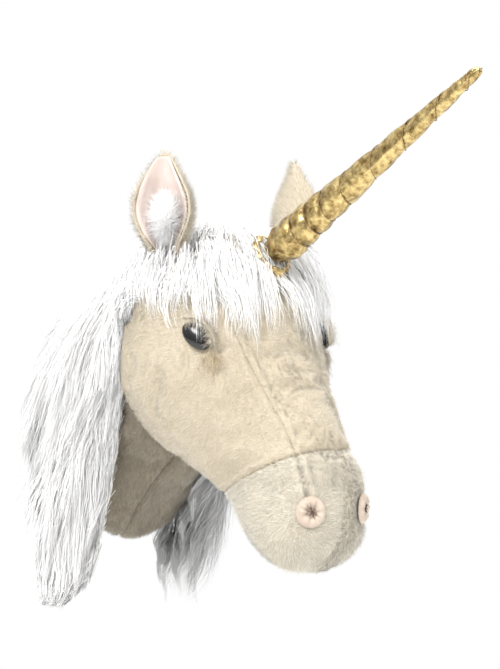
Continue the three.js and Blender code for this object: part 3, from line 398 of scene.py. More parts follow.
# %% One even form from the panels
PANELS = {
    "bridge_gusset": HEAD_CLOTH,
    "cheek_panel_right": HEAD_CLOTH,
    "cheek_panel_left": HEAD_CLOTH,
    "jaw_gusset": HEAD_CLOTH,
    "poll_gusset": HEAD_CLOTH,
    "muzzle_cap": MUZZLE_CLOTH,
    "neck_skin_right": NECK_CLOTH_PAINTED_SHADE,
    "neck_skin_left": NECK_CLOTH_PAINTED_SHADE,
    "throat_gusset": NECK_CLOTH_PAINTED_SHADE,
}
CLOTH_CELL = 4.6 * MM
BACK_EDGE = 2.6 * MM
form = piece_of("plush_form", merged(*PANELS, "stuffing", "back_board", "back_felt"))
even = form.modifiers.new("even", "REMESH")
even.mode = "VOXEL"
even.voxel_size = CLOTH_CELL
settled(form)
bm = bmesh.new()
bm.from_mesh(form.data)
for _ in range(4):
    bmesh.ops.smooth_vert(bm, verts=bm.verts, factor=0.5, use_axis_x=True, use_axis_y=True, use_axis_z=True)
bmesh.ops.bisect_plane(
    bm,
    geom=bm.verts[:] + bm.edges[:] + bm.faces[:],
    plane_co=(0, -BACK_EDGE, 0),
    plane_no=(0, 1, 0),
    clear_outer=True,
)


def islands(bm):
    left = set(bm.verts)
    while left:
        start = left.pop()
        found, edge = [start], [start]
        while edge:
            for link in edge.pop().link_edges:
                for v in link.verts:
                    if v in left:
                        left.remove(v)
                        found.append(v)
                        edge.append(v)
        yield found


kept = max(islands(bm), key=len)
bmesh.ops.delete(bm, geom=list(set(bm.verts) - set(kept)), context="VERTS")
bm.to_mesh(form.data)
bm.free()
print("form", len(form.data.vertices), "corners", [round(v, 3) for v in np.ptp(corners(form.data), axis=0)])

# %% How far each corner lies from every panel
panel_names = list(PANELS)
panel_trees = {name: BVHTree.FromBMesh(merged(name)) for name in panel_names}
form_places = corners(form.data)
form_normals = normals_of(form.data)
to_panel = np.stack([nearest_on(panel_trees[name], form_places)[1] for name in panel_names], axis=1)
ranked = np.sort(to_panel, axis=1)
seam_away = ranked[:, 1]


def away_from(places, centres):
    return np.min(np.linalg.norm(places[:, None] - centres[None], axis=2), axis=1)


eye_centres = np.array([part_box(f"eye_{side}")[0].lerp(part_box(f"eye_{side}")[1], 0.5) for side in ("right", "left")])
disc_centres = np.array([(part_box(f"nostril_disc_{s}")[0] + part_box(f"nostril_disc_{s}")[1]) / 2 for s in ("right", "left")])
print("seam corners", int((seam_away < 2 * MM).sum()))

# %% Hold the seams and the fittings
held = 1 - ease(2.2 * MM, 6 * MM, seam_away)
held = np.maximum(held, 1 - ease(11 * MM, 17 * MM, away_from(form_places, eye_centres)))
held = np.maximum(held, 1 - ease(15 * MM, 18 * MM, away_from(form_places, disc_centres)))
held = np.maximum(held, ease(-0.02, -0.014, form_places[:, 1]))
group = form.vertex_groups.new(name="held")
for index, weight in enumerate(held):
    group.add([index], float(weight), "REPLACE")
START_IN = 1.6 * MM
SEAM_IN = 1.3 * MM
inset = START_IN + SEAM_IN * np.exp(-((seam_away / (3 * MM)) ** 2))
inset *= 1 - 0.75 * ease(-0.03, -0.015, form_places[:, 1])
start_places = form_places - form_normals * inset[:, None]
set_corners(form.data, start_places)
print("held", int((held > 0.99).sum()), "of", len(held))

# %% Blow it up
SWELL = 5.0 * MM
cloth = form.modifiers.new("cloth", "CLOTH")
cloth.settings.vertex_group_mass = "held"
cloth.settings.use_pressure = True
cloth.settings.uniform_pressure_force = 4.0
cloth.settings.effector_weights.gravity = 0
cloth.settings.quality = 5
cloth.settings.tension_stiffness = cloth.settings.compression_stiffness = 12
cloth.settings.bending_stiffness = 0.3
cloth.settings.shrink_min = -0.035
cloth.settings.shrink_max = -0.035
cloth.collision_settings.use_collision = False
for step in range(1, 21):
    bpy.context.scene.frame_set(step)
settled(form)
bpy.context.scene.frame_set(1)
moved = corners(form.data) - start_places
size = np.linalg.norm(moved, axis=1)
print("swelled by up to", round(size.max() * 1000, 1), "mm, mean", round(size.mean() * 1000, 2))
capped = SWELL * np.tanh(size / SWELL)
set_corners(form.data, start_places + moved * (capped / np.maximum(size, 1e-9))[:, None])
form.vertex_groups.clear()
subdivided(form, 1)
print("skin", len(form.data.polygons), "faces")

# %% [markdown]
# ## Cut the skin along its seams
# Each face belongs to the panel that it lies nearest to. The corners between two panels are moved
# onto the seam line, pulled in a little, as the thread does, and creased. Then each panel becomes
# its own piece with the thickness of the cloth.

# %% Seams
skin_places = corners(form.data)
skin_normals = normals_of(form.data)
near_panel = np.stack([nearest_on(panel_trees[name], skin_places)[1] for name in panel_names], axis=1)
ranked = np.sort(near_panel, axis=1)
order = np.argsort(near_panel, axis=1)
seam_room = ranked[:, 1] - ranked[:, 0]
quads = np.array([list(p.vertices) for p in form.data.polygons if len(p.vertices) == 4])
face_middles = skin_places[quads].mean(axis=1)
face_panel = np.argmin(
    np.stack([nearest_on(panel_trees[name], face_middles)[1] for name in panel_names], axis=1), axis=1
)
lowest, highest = np.full(len(skin_places), 99), np.full(len(skin_places), -1)
for k in range(4):
    np.minimum.at(lowest, quads[:, k], face_panel)
    np.maximum.at(highest, quads[:, k], face_panel)
on_seam = np.flatnonzero((lowest < highest) & (highest >= 0))
for v in on_seam:
    other = Vector(skin_places[v])
    far = panel_trees[panel_names[order[v, 1]]].find_nearest(other)[0]
    step = far - other
    normal = Vector(skin_normals[v])
    step -= normal * step.dot(normal)
    if step.length < 4 * MM:
        skin_places[v] += np.array(step)
SEAM_PULL = 1.5 * MM
skin_places -= skin_normals * (SEAM_PULL * np.exp(-((seam_room / (3.2 * MM)) ** 2)))[:, None]
puckers = np.array([noise.noise(Vector(p) * 260) for p in skin_places])
folds = np.array([noise.noise(Vector(p) * 75) for p in skin_places])
near_seam = np.exp(-((seam_room / (11 * MM)) ** 2))
skin_places += skin_normals * (0.9 * MM * puckers * near_seam + 1.1 * MM * folds)[:, None]
print("seam corners", len(on_seam))

# %% Soft creases, each along a line of places on the skin
# Each crease runs between landmarks of the frame: the eye, the nostril disc, the corner where the
# bridge gusset ends, and the neck skin. Steps from a landmark are (out, back, up) in millimetres.
gusset_mesh = merged("bridge_gusset")
gusset = np.array([v.co[:] for v in gusset_mesh.verts])
gusset_mesh.free()
gusset_corner = gusset[np.argmin(gusset[:, 2] + gusset[:, 0])]
neck_middle = np.array(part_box("neck_skin_right")[0].lerp(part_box("neck_skin_right")[1], 0.5))


def stepped(landmark, *steps):
    """Places a few steps away from one landmark."""
    return [landmark + np.array(step) * MM for step in steps]


CREASES = {
    "muzzle": ([gusset_corner, disc_centres[0]], 3.0, 2.3),
    "cheek_front": (stepped(eye_centres[0], (0, 35, -30), (0, 50, -60)), 2.0, 5.0),
    "cheek_back": (stepped(eye_centres[0], (0, 65, -20), (0, 80, -50)), 2.2, 5.0),
    "neck_fold": (stepped(neck_middle, (0, 10, 10), (0, -10, 0)), 2.2, 4.5),
    "under_eye": (stepped(eye_centres[0], (0, 10, -20), (0, -30, -25)), 1.3, 5.0),
}


def along(line, count=24):
    """Even places along a line."""
    t = np.linspace(0, len(line) - 1, count)
    return np.stack([np.interp(t, np.arange(len(line)), np.array(line)[:, axis]) for axis in range(3)], axis=1)


before = BVHTree.FromPolygons(skin_places.tolist(), quads.tolist())
crease_places = {}
for name, (line, depth, width) in CREASES.items():
    for mirror in (1, -1):
        path = along(line) * np.array([mirror, 1, 1])
        path = np.array([before.find_nearest(Vector(p))[0] for p in path])
        crease_places[name, mirror] = path
        away = away_from(skin_places, path) / (width * MM)
        dent = depth * MM * (np.exp(-(away**2)) - 0.35 * np.exp(-((away - 2) ** 2)))
        skin_places -= skin_normals * dent[:, None]
set_corners(form.data, skin_places)
print("creases", len(CREASES))

# %% Panels
CLOTH_THICK = 1.6 * MM


def thickened(made, thickness, offset=-1.0):
    wall = made.modifiers.new("thickness", "SOLIDIFY")
    wall.thickness, wall.offset = thickness, offset
    return made


skins = {}
for k, (name, material) in enumerate(PANELS.items()):
    chosen = quads[face_panel == k]
    used = np.unique(chosen)
    numbers = np.full(len(skin_places), -1)
    numbers[used] = np.arange(len(used))
    mesh = bpy.data.meshes.new(name + "_plush")
    mesh.from_pydata(skin_places[used].tolist(), [], numbers[chosen].tolist())
    skins[name] = object_of(name + "_plush", mesh, material)
    thickened(skins[name], CLOTH_THICK)
    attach(skins[name], "head")
    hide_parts(name)
    "muzzle_plush" if name == "muzzle_cap" else "head_plush"
skin_tree = BVHTree.FromPolygons(skin_places.tolist(), quads.tolist())
bpy.data.objects.remove(form)
print({name: len(made.data.polygons) for name, made in skins.items()})

# %% [markdown]
# ## Short pile
# The plush's fibres are blades with three sides and one point, the smallest closed shape. A blade
# is made once, and then copied thousands of times by moving its four corners. Places are drawn
# by area, with a fixed seed, and thinned out at the seams and under the fittings.

# %% Places on a surface
random = np.random.default_rng(7)


def spread_over(places, faces, per_area, weight=None):
    """Random places on quads or triangles with their normals: per_area of them in a square metre."""
    tris = np.concatenate([faces[:, [0, 1, 2]], faces[:, [0, 2, 3]]]) if faces.shape[1] == 4 else faces
    a, b, c = places[tris[:, 0]], places[tris[:, 1]], places[tris[:, 2]]
    cross = np.cross(b - a, c - a)
    area = np.linalg.norm(cross, axis=1) / 2
    count = int(area.sum() * per_area)
    chosen = random.choice(len(tris), count, p=area / area.sum())
    u, v = random.random((2, count))
    over = u + v > 1
    u[over], v[over] = 1 - u[over], 1 - v[over]
    found = a[chosen] + (b - a)[chosen] * u[:, None] + (c - a)[chosen] * v[:, None]
    up = cross[chosen] / np.maximum(2 * area[chosen], 1e-15)[:, None]
    if weight is not None:
        keep = random.random(count) < weight(found)
        found, up = found[keep], up[keep]
    return found, up


def unit(vectors):
    return vectors / np.maximum(np.linalg.norm(vectors, axis=1), 1e-12)[:, None]


def mesh_of(name, places, faces, tones=None):
    """A mesh from an array of corners and an array of same-sized faces."""
    mesh = bpy.data.meshes.new(name)
    sides = faces.shape[1]
    mesh.vertices.add(len(places))
    mesh.vertices.foreach_set("co", places.astype(np.float32).ravel())
    mesh.loops.add(faces.size)
    mesh.loops.foreach_set("vertex_index", faces.astype(np.int32).ravel())
    mesh.polygons.add(len(faces))
    mesh.polygons.foreach_set("loop_start", np.arange(0, faces.size, sides, dtype=np.int32))
    if tones is not None:
        mesh.polygons.foreach_set("material_index", tones.astype(np.int32))
    mesh.update(calc_edges=True)
    return mesh


def soften(made, coat, share=0.75):
    """Turns the shading of fine fibres towards the coat's own direction, so that it reads as one soft body."""
    own = normals_of(made.data)
    made.data.normals_split_custom_set_from_vertices(unit(own * (1 - share) + coat * share).tolist())


def blade_template():
    bm = bmesh.new()
    bmesh.ops.create_cone(bm, segments=3, radius1=1.0, radius2=0.0, depth=1.0, cap_ends=True, cap_tris=True)
    bmesh.ops.remove_doubles(bm, verts=bm.verts, dist=1e-6)
    bmesh.ops.translate(bm, verts=bm.verts, vec=(0, 0, 0.5))
    bm.verts.ensure_lookup_table()
    places = np.array([v.co for v in bm.verts])
    faces = np.array([[v.index for v in f.verts] for f in bm.faces if len(f.verts) == 3])
    bm.free()
    return places, faces


BLADE, BLADE_FACES = blade_template()
print("blade", len(BLADE), "corners", len(BLADE_FACES), "faces")

# %% Fibre tones


def fibre(name, colour, roughness=0.62, sheen=0.35):
    finish = Finish(name, Base_Color=colour, Sheen_Weight=sheen, Sheen_Roughness=0.4)
    return finish.rough(roughness).material


def tones_of(name, *colours):
    return [fibre(f"{name}_fibre_{i}", rgb(*colour)) for i, colour in enumerate(colours)]


TONES = {
    "head": tones_of("head", (222, 212, 193), (210, 199, 177), (196, 183, 159)),
    "muzzle": tones_of("muzzle", (225, 219, 206), (212, 205, 189), (197, 189, 172)),
    # The neck's tones are darker than the head's: painted shade, the shade that falls on the neck under the head.
    "neck": tones_of("neck", (156, 147, 130), (139, 129, 112), (123, 113, 96)),
    "white": tones_of("white", (254, 254, 254), (250, 250, 249), (242, 240, 237)),
    # The tan tones are painted shade: the brown shade of the dimple in front of each eye, given to the tuft there.
    "tan": tones_of("tan", (216, 200, 170), (188, 168, 136), (160, 138, 106)),
}


def pile(name, roots, normals, flow, length, width, lean, tones, body="head"):
    """Straight blades that lean along flow."""
    count = len(roots)
    flow = unit(flow - normals * (flow * normals).sum(1)[:, None])
    side = np.cross(normals, flow)
    wander = random.normal(0, 0.35, (count, 2))
    aim = unit(normals + flow * (lean * (1 + 0.4 * wander[:, :1])) + side * wander[:, 1:] * lean)
    long = length * random.uniform(0.7, 1.25, count)
    across = unit(np.cross(aim, normals + 0.01))
    beside = np.cross(aim, across)
    thick = width * random.uniform(0.8, 1.2, count) / 2
    base = roots - normals * 0.5 * MM
    places = (
        base[:, None]
        + across[:, None] * (BLADE[:, 0] * thick[:, None])[:, :, None]
        + beside[:, None] * (BLADE[:, 1] * thick[:, None])[:, :, None]
        + aim[:, None] * (BLADE[:, 2] * long[:, None])[:, :, None]
    )
    faces = BLADE_FACES[None] + (np.arange(count) * len(BLADE))[:, None, None]
    shade = np.repeat(random.choice(len(tones), count, p=[0.4, 0.4, 0.2]), len(BLADE_FACES))
    mesh = mesh_of(name, places.reshape(-1, 3), faces.reshape(-1, 3), shade)
    made = object_of(name, mesh, *tones, smooth=True)
    soften(made, np.repeat(normals, len(BLADE), axis=0), 0.8)
    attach(made, body)
    return made


print("tones", sorted(TONES))

# %% Pile on each panel
DENSITY = 0.6e6
muzzle_folds = np.concatenate([crease_places["muzzle", mirror] for mirror in (1, -1)])


def head_weight(places):
    """How much pile grows: none under the eyes and the nostril discs, little in the seams."""
    weight = ease(0.3 * MM, 1.6 * MM, np.sort(panel_away(places), axis=1)[:, 1])
    weight *= ease(10.5 * MM, 13 * MM, away_from(places, eye_centres))
    weight *= ease(11.2 * MM, 13 * MM, away_from(places, disc_centres))
    weight *= 0.25 + 0.75 * ease(0.2 * MM, 1.3 * MM, away_from(places, muzzle_folds))
    weight *= 1 - 0.6 * ease(0.115, 0.13, places[:, 2])
    return weight


def panel_away(places):
    near = np.empty((len(places), 2))
    tree = seam_points
    for i, p in enumerate(places):
        near[i] = (0, tree.find(p)[2])
    return near


seam_points = kdtree.KDTree(len(on_seam))
for i, v in enumerate(on_seam):
    seam_points.insert(skin_places[v], i)
seam_points.balance()


def nap(places):
    """The way the pile lies: back and down, and out from the nostrils on the muzzle."""
    flow = np.tile([0.0, 0.75, -0.65], (len(places), 1))
    from_discs = places - disc_centres[(places[:, 0] > 0).astype(int)]
    share = ease(0.12, 0.03, np.linalg.norm(from_discs, axis=1))[:, None]
    on_muzzle = ease(-0.035, -0.055, places[:, 2])[:, None]
    flow = flow * (1 - share * on_muzzle) + unit(from_discs) * 0.8 * share * on_muzzle
    swirl = np.array([noise.noise_vector(Vector(p) * 30) for p in places])
    return flow + 0.9 * swirl


LOOK = {
    "bridge_gusset": ("head", 3.6 * MM),
    "cheek_panel_right": ("head", 3.6 * MM),
    "cheek_panel_left": ("head", 3.6 * MM),
    "jaw_gusset": ("head", 3.6 * MM),
    "poll_gusset": ("head", 3.6 * MM),
    "muzzle_cap": ("muzzle", 4.6 * MM),
    # The neck's pile takes the darker neck tones, which are painted shade under the head.
    "neck_skin_right": ("neck", 4.0 * MM),
    "neck_skin_left": ("neck", 4.0 * MM),
    "throat_gusset": ("neck", 4.0 * MM),
}
grown = 0
for name, (tone, length) in LOOK.items():
    mesh = skins[name].data
    faces = np.array([list(p.vertices) for p in mesh.polygons])
    roots, up = spread_over(corners(mesh), faces, DENSITY, head_weight)
    pile(name + "_pile", roots, up, nap(roots), length, 0.54 * MM, 1.1, TONES[tone])
    grown += len(roots)
print("blades", grown)

# %% [markdown]
# ## Stuffing
# The plain stuffing solid of the frame would come through the skin where the seams pull in, so the
# filling shown is the skin's own shape, moved in by more than the cloth's thickness, cut off where
# the frame's stuffing ends, so that the pocket behind it stays open, and closed.

# %% Filling under the skin
mesh = bpy.data.meshes.new("filling")
mesh.from_pydata((skin_places - skin_normals * 3.6 * MM).tolist(), [], quads.tolist())
bm = bmesh.new()
bm.from_mesh(mesh)
filling_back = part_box("stuffing")[1].y
whole = bm.verts[:] + bm.edges[:] + bm.faces[:]
bmesh.ops.bisect_plane(bm, geom=whole, plane_co=(0, filling_back, 0), plane_no=(0, 1, 0), clear_outer=True)
rim = [edge for edge in bm.edges if edge.is_boundary]
bmesh.ops.holes_fill(bm, edges=rim, sides=0)
bmesh.ops.recalc_face_normals(bm, faces=bm.faces)
filling = piece_of("stuffing_fill", bm, HARD["stuffing"])
coarse = filling.modifiers.new("coarse", "DECIMATE")
coarse.ratio = 0.2
settled(filling)
bpy.data.meshes.remove(mesh)
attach(filling, "head")
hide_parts("stuffing")

# %% [markdown]
# ## Eyes
# A safety eye is a moulded oval dome. Its place and its tilt come from the flat washer inside and
# from the outline of the frame's eye, and the dome itself is a sphere flattened underneath.

# %% Where an eye sits


def mesh_places(*parts):
    bm = merged(*parts)
    places = np.array([v.co for v in bm.verts])
    bm.free()
    return places


def seat_of(flat, outline=None):
    """The centre, outward normal and long axis of a flat fitting."""
    places = mesh_places(flat)
    centre = places.mean(0)
    _, axes = np.linalg.eigh(np.cov((places - centre).T))
    normal = axes[:, 0]
    if normal @ (centre - np.array([0, -0.14, 0.03])) < 0:
        normal = -normal
    shape = mesh_places(outline or flat)
    level = shape - shape.mean(0)
    level -= (level @ normal)[:, None] * normal
    _, axes = np.linalg.eigh(np.cov(level.T))
    long = axes[:, 2]
    short = np.cross(normal, long)
    return centre, normal, long, short, np.abs(level @ long).max(), np.abs(level @ short).max()


EYE_OVER_WASHER = 7.4 * MM
EYE_RISE = 5.6 * MM
eye_seats = {}
for side in ("right", "left"):
    centre, normal, long, short, reach, width = seat_of(f"eye_washer_{side}", f"eye_{side}")
    seat = centre + normal * EYE_OVER_WASHER
    eye_seats[side] = (seat, normal, long, short, reach, width)
    bm = bmesh.new()
    bmesh.ops.create_uvsphere(bm, u_segments=48, v_segments=24, radius=1)
    for v in bm.verts:
        x, y, z = v.co
        up = z * EYE_RISE if z > 0 else z * 2.2 * MM
        v.co = Vector(seat + long * x * reach * 0.98 + short * y * width * 0.86 + normal * up)
    bmesh.ops.recalc_face_normals(bm, faces=bm.faces)
    eye = piece_of(f"glossy_eye_{side}", bm, EYE)
    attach(eye, "head")
    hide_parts(f"eye_{side}")
print("eyes", {side: [round(v, 3) for v in seat[0]] for side, seat in eye_seats.items()})

# %% [markdown]
# ## Bent strands
# Long pile needs strands that bend. The template is a three-sided cone cut across at even heights;
# each ring of it is then set on one point of the strand's own path.

# %% Strand template


def strand_template(rings):
    bm = bmesh.new()
    bmesh.ops.create_cone(bm, segments=3, radius1=1.0, radius2=0.0, depth=1.0, cap_ends=True, cap_tris=True)
    bmesh.ops.remove_doubles(bm, verts=bm.verts, dist=1e-6)
    bmesh.ops.translate(bm, verts=bm.verts, vec=(0, 0, 0.5))
    for i in range(1, rings):
        cut = bm.verts[:] + bm.edges[:] + bm.faces[:]
        bmesh.ops.bisect_plane(bm, geom=cut, plane_co=(0, 0, i / rings), plane_no=(0, 0, 1))
    bmesh.ops.triangulate(bm, faces=bm.faces[:])
    bmesh.ops.recalc_face_normals(bm, faces=bm.faces)
    places = np.array([v.co for v in bm.verts])
    faces = np.array([[v.index for v in f.verts] for f in bm.faces])
    bm.free()
    return places, faces


def strands(name, paths, width, tones, body, coat, chances=(0.5, 0.35, 0.15), fullness=0.8):
    """One closed strand along each path; paths is an array of strand, point, axis, and coat the way each faces."""
    count, points = paths.shape[:2]
    rings = points - 1
    template, faces = strand_template(rings)
    ring = np.round(template[:, 2] * rings).astype(int)
    tangent = np.gradient(paths, axis=1)
    tangent /= np.maximum(np.linalg.norm(tangent, axis=2), 1e-9)[..., None]
    reference = unit(random.normal(size=(count, 3)))[:, None]
    across = np.cross(tangent, np.broadcast_to(reference, tangent.shape))
    across /= np.maximum(np.linalg.norm(across, axis=2), 1e-9)[..., None]
    beside = np.cross(tangent, across)
    z = template[:, 2]
    taper = np.where(z < 0.999, (1 - z**2.2) / np.maximum(1 - z, 1e-6), 0)
    taper *= fullness + (1 - fullness) * (1 - z)
    thick = width * random.uniform(0.75, 1.25, count)[:, None, None] / 2
    places = (
        paths[:, ring]
        + across[:, ring] * (template[:, 0] * taper)[None, :, None] * thick
        + beside[:, ring] * (template[:, 1] * taper)[None, :, None] * thick
    )
    numbered = faces[None] + (np.arange(count) * len(template))[:, None, None]
    shade = np.repeat(random.choice(len(tones), count, p=chances), len(faces))
    mesh = mesh_of(name, places.reshape(-1, 3), numbered.reshape(-1, 3), shade)
    made = object_of(name, mesh, *tones)
    soften(made, np.repeat(coat, len(template), axis=0))
    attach(made, body)
    return made


print("strand", [len(part) for part in strand_template(5)])

# %% Paths that lie on a surface


def combed(roots, flow_at, length, rise, tree, points=5, sag=0.5):
    """Paths that leave the surface, run along it at a height, and sink back towards their tips."""
    count = len(roots)
    ground = roots.copy()
    paths = np.empty((count, points, 3))
    hits = [tree.find_nearest(Vector(p)) for p in roots]
    up = np.array([h[1] for h in hits])
    paths[:, 0] = roots - up * 0.8 * MM
    step = (length / (points - 1))[:, None]
    for k in range(1, points):
        flow = flow_at(ground, k / (points - 1))
        flow = unit(flow - up * (flow * up).sum(1)[:, None])
        hits = [tree.find_nearest(Vector(p)) for p in ground + flow * step]
        ground = np.array([h[0] for h in hits])
        up = unit(0.5 * up + np.array([h[1] for h in hits]))
        t = k / (points - 1)
        height = rise * (np.sin(np.pi * min(t**0.6, 1.0) * 0.5) - sag * t**2.2)
        paths[:, k] = ground + up * height[:, None]
    return paths


def clumped(guides, each, spread, gather=0.65, wave=0.0):
    """Copies of every guide, loose at the root and gathered at the tip."""
    count, points = guides.shape[:2]
    t = np.linspace(0, 1, points)[None, :, None]
    owner = np.repeat(np.arange(count), each)
    aside = random.normal(0, spread, (len(owner), 1, 3)) * (1 - gather * t)
    length = random.uniform(0.72, 1.08, len(owner))[:, None, None]
    base = guides[owner]
    paths = base[:, :1] + (base - base[:, :1]) * length + aside
    if wave:
        phase = random.uniform(0, 2 * np.pi, (len(owner), 1, 3))
        paths = paths + wave * t * np.sin(2 * np.pi * (0.5 + 0.8 * phase / 6.3) * t + phase)
    return paths


print("combing ready")

# %% [markdown]
# ## Eyelids, lashes and nostrils
# The lids are folded strips of the same plush, rounded by subdivision and grown with a shorter
# pile. Pale lashes hang from them over the eye. Each nostril is a disc of satin, drawn in at its
# middle by a few dark stitches, so its folds run out from the centre like a star.

# %% Eyelids


def rounded_copy(part, name, levels, *materials, body="head", slot="head_plush"):
    """A frame part as a new, softer piece that stands in for it."""
    made = subdivided(piece_of(name, merged(part), *materials), levels)
    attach(made, body)
    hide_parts(part)
    return made


def pile_on(made, name, per_area, length, width, lean, tones, flow_at, weight=None, body="head"):
    mesh = made.data
    sides = max(len(p.vertices) for p in mesh.polygons)
    faces = np.array([list(p.vertices) for p in mesh.polygons if len(p.vertices) == sides])
    roots, up = spread_over(corners(mesh), faces, per_area, weight)
    return pile(name, roots, up, flow_at(roots), length, width, lean, tones, body=body)


for side in ("right", "left"):
    seat, normal, long, short, reach, width = eye_seats[side]
    lid = rounded_copy(f"eyelid_{side}", f"eyelid_plush_{side}", 2, HEAD_CLOTH)
    outward = lambda places: unit(places - seat) + normal * 0.4
    pile_on(lid, f"eyelid_pile_{side}", 1.6e6, 4.4 * MM, 0.4 * MM, 0.9, TONES["head"], outward)
print("lids", len(lid.data.polygons))

# %% Lashes and the longer tuft in front of each eye


def bowed(roots, starts, ends, length, points=6):
    """Paths that leave along starts and bend round towards ends."""
    t = np.linspace(0, 1, points)[None, :, None]
    aim = unit(starts)[:, None] * (1 - t) + unit(ends)[:, None] * t
    steps = aim * (length / (points - 1))[:, None, None]
    return roots[:, None] + np.concatenate([np.zeros_like(steps[:, :1]), np.cumsum(steps[:, :-1], axis=1)], axis=1)


DOWN = np.array([0.0, 0.0, -1.0])
for side in ("right", "left"):
    seat, normal, long, short, reach, width = eye_seats[side]
    mirror = -1 if side == "right" else 1
    top = short if short[2] > 0 else -short
    front = long if long[1] < 0 else -long
    count = 240
    turn = random.uniform(-1.5, 1.2, count)
    ring = np.sin(turn)[:, None] * front * (reach + 1.5 * MM) + np.cos(turn)[:, None] * top * (width + 2 * MM)
    roots = seat + ring + normal * random.uniform(1, 4.5, count)[:, None] * MM
    starts = normal * 0.9 - unit(ring) * 0.2 + random.normal(0, 0.25, (count, 3))
    ends = -unit(ring) * 0.9 + front * 0.5 + DOWN * 0.7 + random.normal(0, 0.3, (count, 3))
    lashes = bowed(roots, starts, ends, random.uniform(8, 17, count) * MM)
    facing = np.tile(normal, (count, 1))
    strands(f"lashes_{side}", lashes, 0.2 * MM, TONES["head"], "head", facing)
    count = 260
    spot = seat + front * (reach + 9 * MM) - top * 4 * MM + normal * 1 * MM
    roots = spot + random.normal(0, 4.5, (count, 3)) * MM
    roots = nearest_on(skin_tree, roots)[0]
    starts = normal * 0.7 + DOWN * 0.4 + random.normal(0, 0.3, (count, 3))
    ends = DOWN + front * 0.4 + random.normal(0, 0.25, (count, 3))
    tuft = bowed(roots, starts, ends, random.uniform(9, 15, count) * MM)
    # The tuft's tan is painted shade of the dimple in front of the eye.
    strands(f"brow_tuft_{side}", tuft, 0.34 * MM, TONES["tan"], "head", np.tile(normal, (count, 1)))
print("lashes and tufts")

# %% Nostrils
for side in ("right", "left"):
    disc = rounded_copy(f"nostril_disc_{side}", f"nostril_satin_{side}", 2, NOSTRIL_SATIN, slot="pink_satin")
    centre, normal, long, short, reach, width = seat_of(f"nostril_disc_{side}")
    if side == "right" and normal[0] > 0 or side == "left" and normal[0] < 0:
        normal = -normal
    places = corners(disc.data)
    level = places - centre
    x, y = level @ long, level @ short
    radius, turn = np.hypot(x, y), np.arctan2(y, x)
    share = radius / reach
    folds = np.cos(9 * turn + 2.0 * np.sin(2 * turn)) * 0.75 * MM * ease(0.05, 0.3, share) * ease(1.0, 0.55, share)
    sink = -2.2 * MM * np.exp(-((share / 0.3) ** 2)) - 1.5 * MM * ease(0.82, 1.0, share)
    puff = 1.2 * MM * np.exp(-(((share - 0.62) / 0.22) ** 2)) - 1.5 * MM
    set_corners(disc.data, places + normal * (folds + sink + puff)[:, None])
    stitches = rounded_copy(f"nostril_stitch_{side}", f"nostril_star_{side}", 1, DARK_THREAD, slot="stitch_thread")
    set_corners(stitches.data, corners(stitches.data) - normal * 1.2 * MM)
print("nostrils", len(disc.data.polygons))

# %% [markdown]
# ## Horn
# The horn is a stuffed cone of lamé, a cloth woven with a metal film. The thread wound round it
# pinches it, so small pleats run away from the thread on both sides, and light breaks on them.
# The frame's cover already follows the thread; it is rounded, and the pleats are pressed into it.

# %% Horn cover, thread and collar
horn_foot = np.array([0, -0.175, 0.145])
tips = mesh_places("horn_cover")
horn_tip = tips[np.argmax(tips[:, 2])]
horn_axis = (horn_tip - horn_foot) / np.linalg.norm(horn_tip - horn_foot)
horn_side = np.array([1.0, 0, 0])
horn_up = np.cross(horn_side, horn_axis)
thread_tree = BVHTree.FromBMesh(merged("horn_thread"))


def horn_frame(places):
    level = places - horn_foot
    return level @ horn_axis, np.arctan2(level @ horn_up, level @ horn_side)


def pleated(made, axis_cells, round_cells, height, near=7 * MM):
    """Small pleats that run along the horn and are deepest beside the thread."""
    places, up = corners(made.data), normals_of(made.data)
    along, turn = horn_frame(places)
    away = nearest_on(thread_tree, places)[1]
    spots = np.stack([np.cos(turn) * round_cells, np.sin(turn) * round_cells, along * axis_cells], axis=1)
    pleats = np.array([noise.noise(Vector(p)) for p in spots])
    crush = np.array([noise.noise(Vector(p) * 95) for p in places])
    amount = height * (0.35 + np.exp(-((away / near) ** 2)))
    set_corners(made.data, places + up * (pleats * amount + crush * height * 0.8)[:, None])


cover = rounded_copy("horn_cover", "horn_lame", 2, LAME, body="horn", slot="gold_lame")
pleated(cover, 28, 3.4, 1.0 * MM)
thread = rounded_copy("horn_thread", "horn_winding", 1, GOLD_THREAD, body="horn", slot="horn_thread")
collar = rounded_copy("horn_collar", "horn_ruffle", 2, LAME, slot="gold_lame")
pleated(collar, 20, 5.0, 0.7 * MM, near=40 * MM)
print("horn", len(cover.data.polygons), len(thread.data.polygons), len(collar.data.polygons))

# %% [markdown]
# ## Ears
# Each ear is a leaf of plush with a pale satin lining that lies in soft creases, and a tuft of
# fluff deep inside. Shell, lining and fluff all ride on the ear, which flexes at its foot.

# %% Shells and linings


def pointed(made, foot):
    """Draws the upper half of an ear in towards its middle, so that it ends in a point."""
    places = corners(made.data)
    tip = places[np.argmax(places[:, 2])]
    aim = (tip - foot) / np.linalg.norm(tip - foot)
    level = places - foot
    height = level @ aim / np.linalg.norm(tip - foot)
    broad = np.array([0.0, 1.0, 0.0])
    broad = broad - (broad @ aim) * aim
    broad /= np.linalg.norm(broad)
    aside = level @ broad - np.interp(height, [0, 1], [0, (tip - foot) @ broad])
    draw = 0.55 * ease(0.5, 1.02, height)
    set_corners(made.data, places - broad * (aside * draw)[:, None])


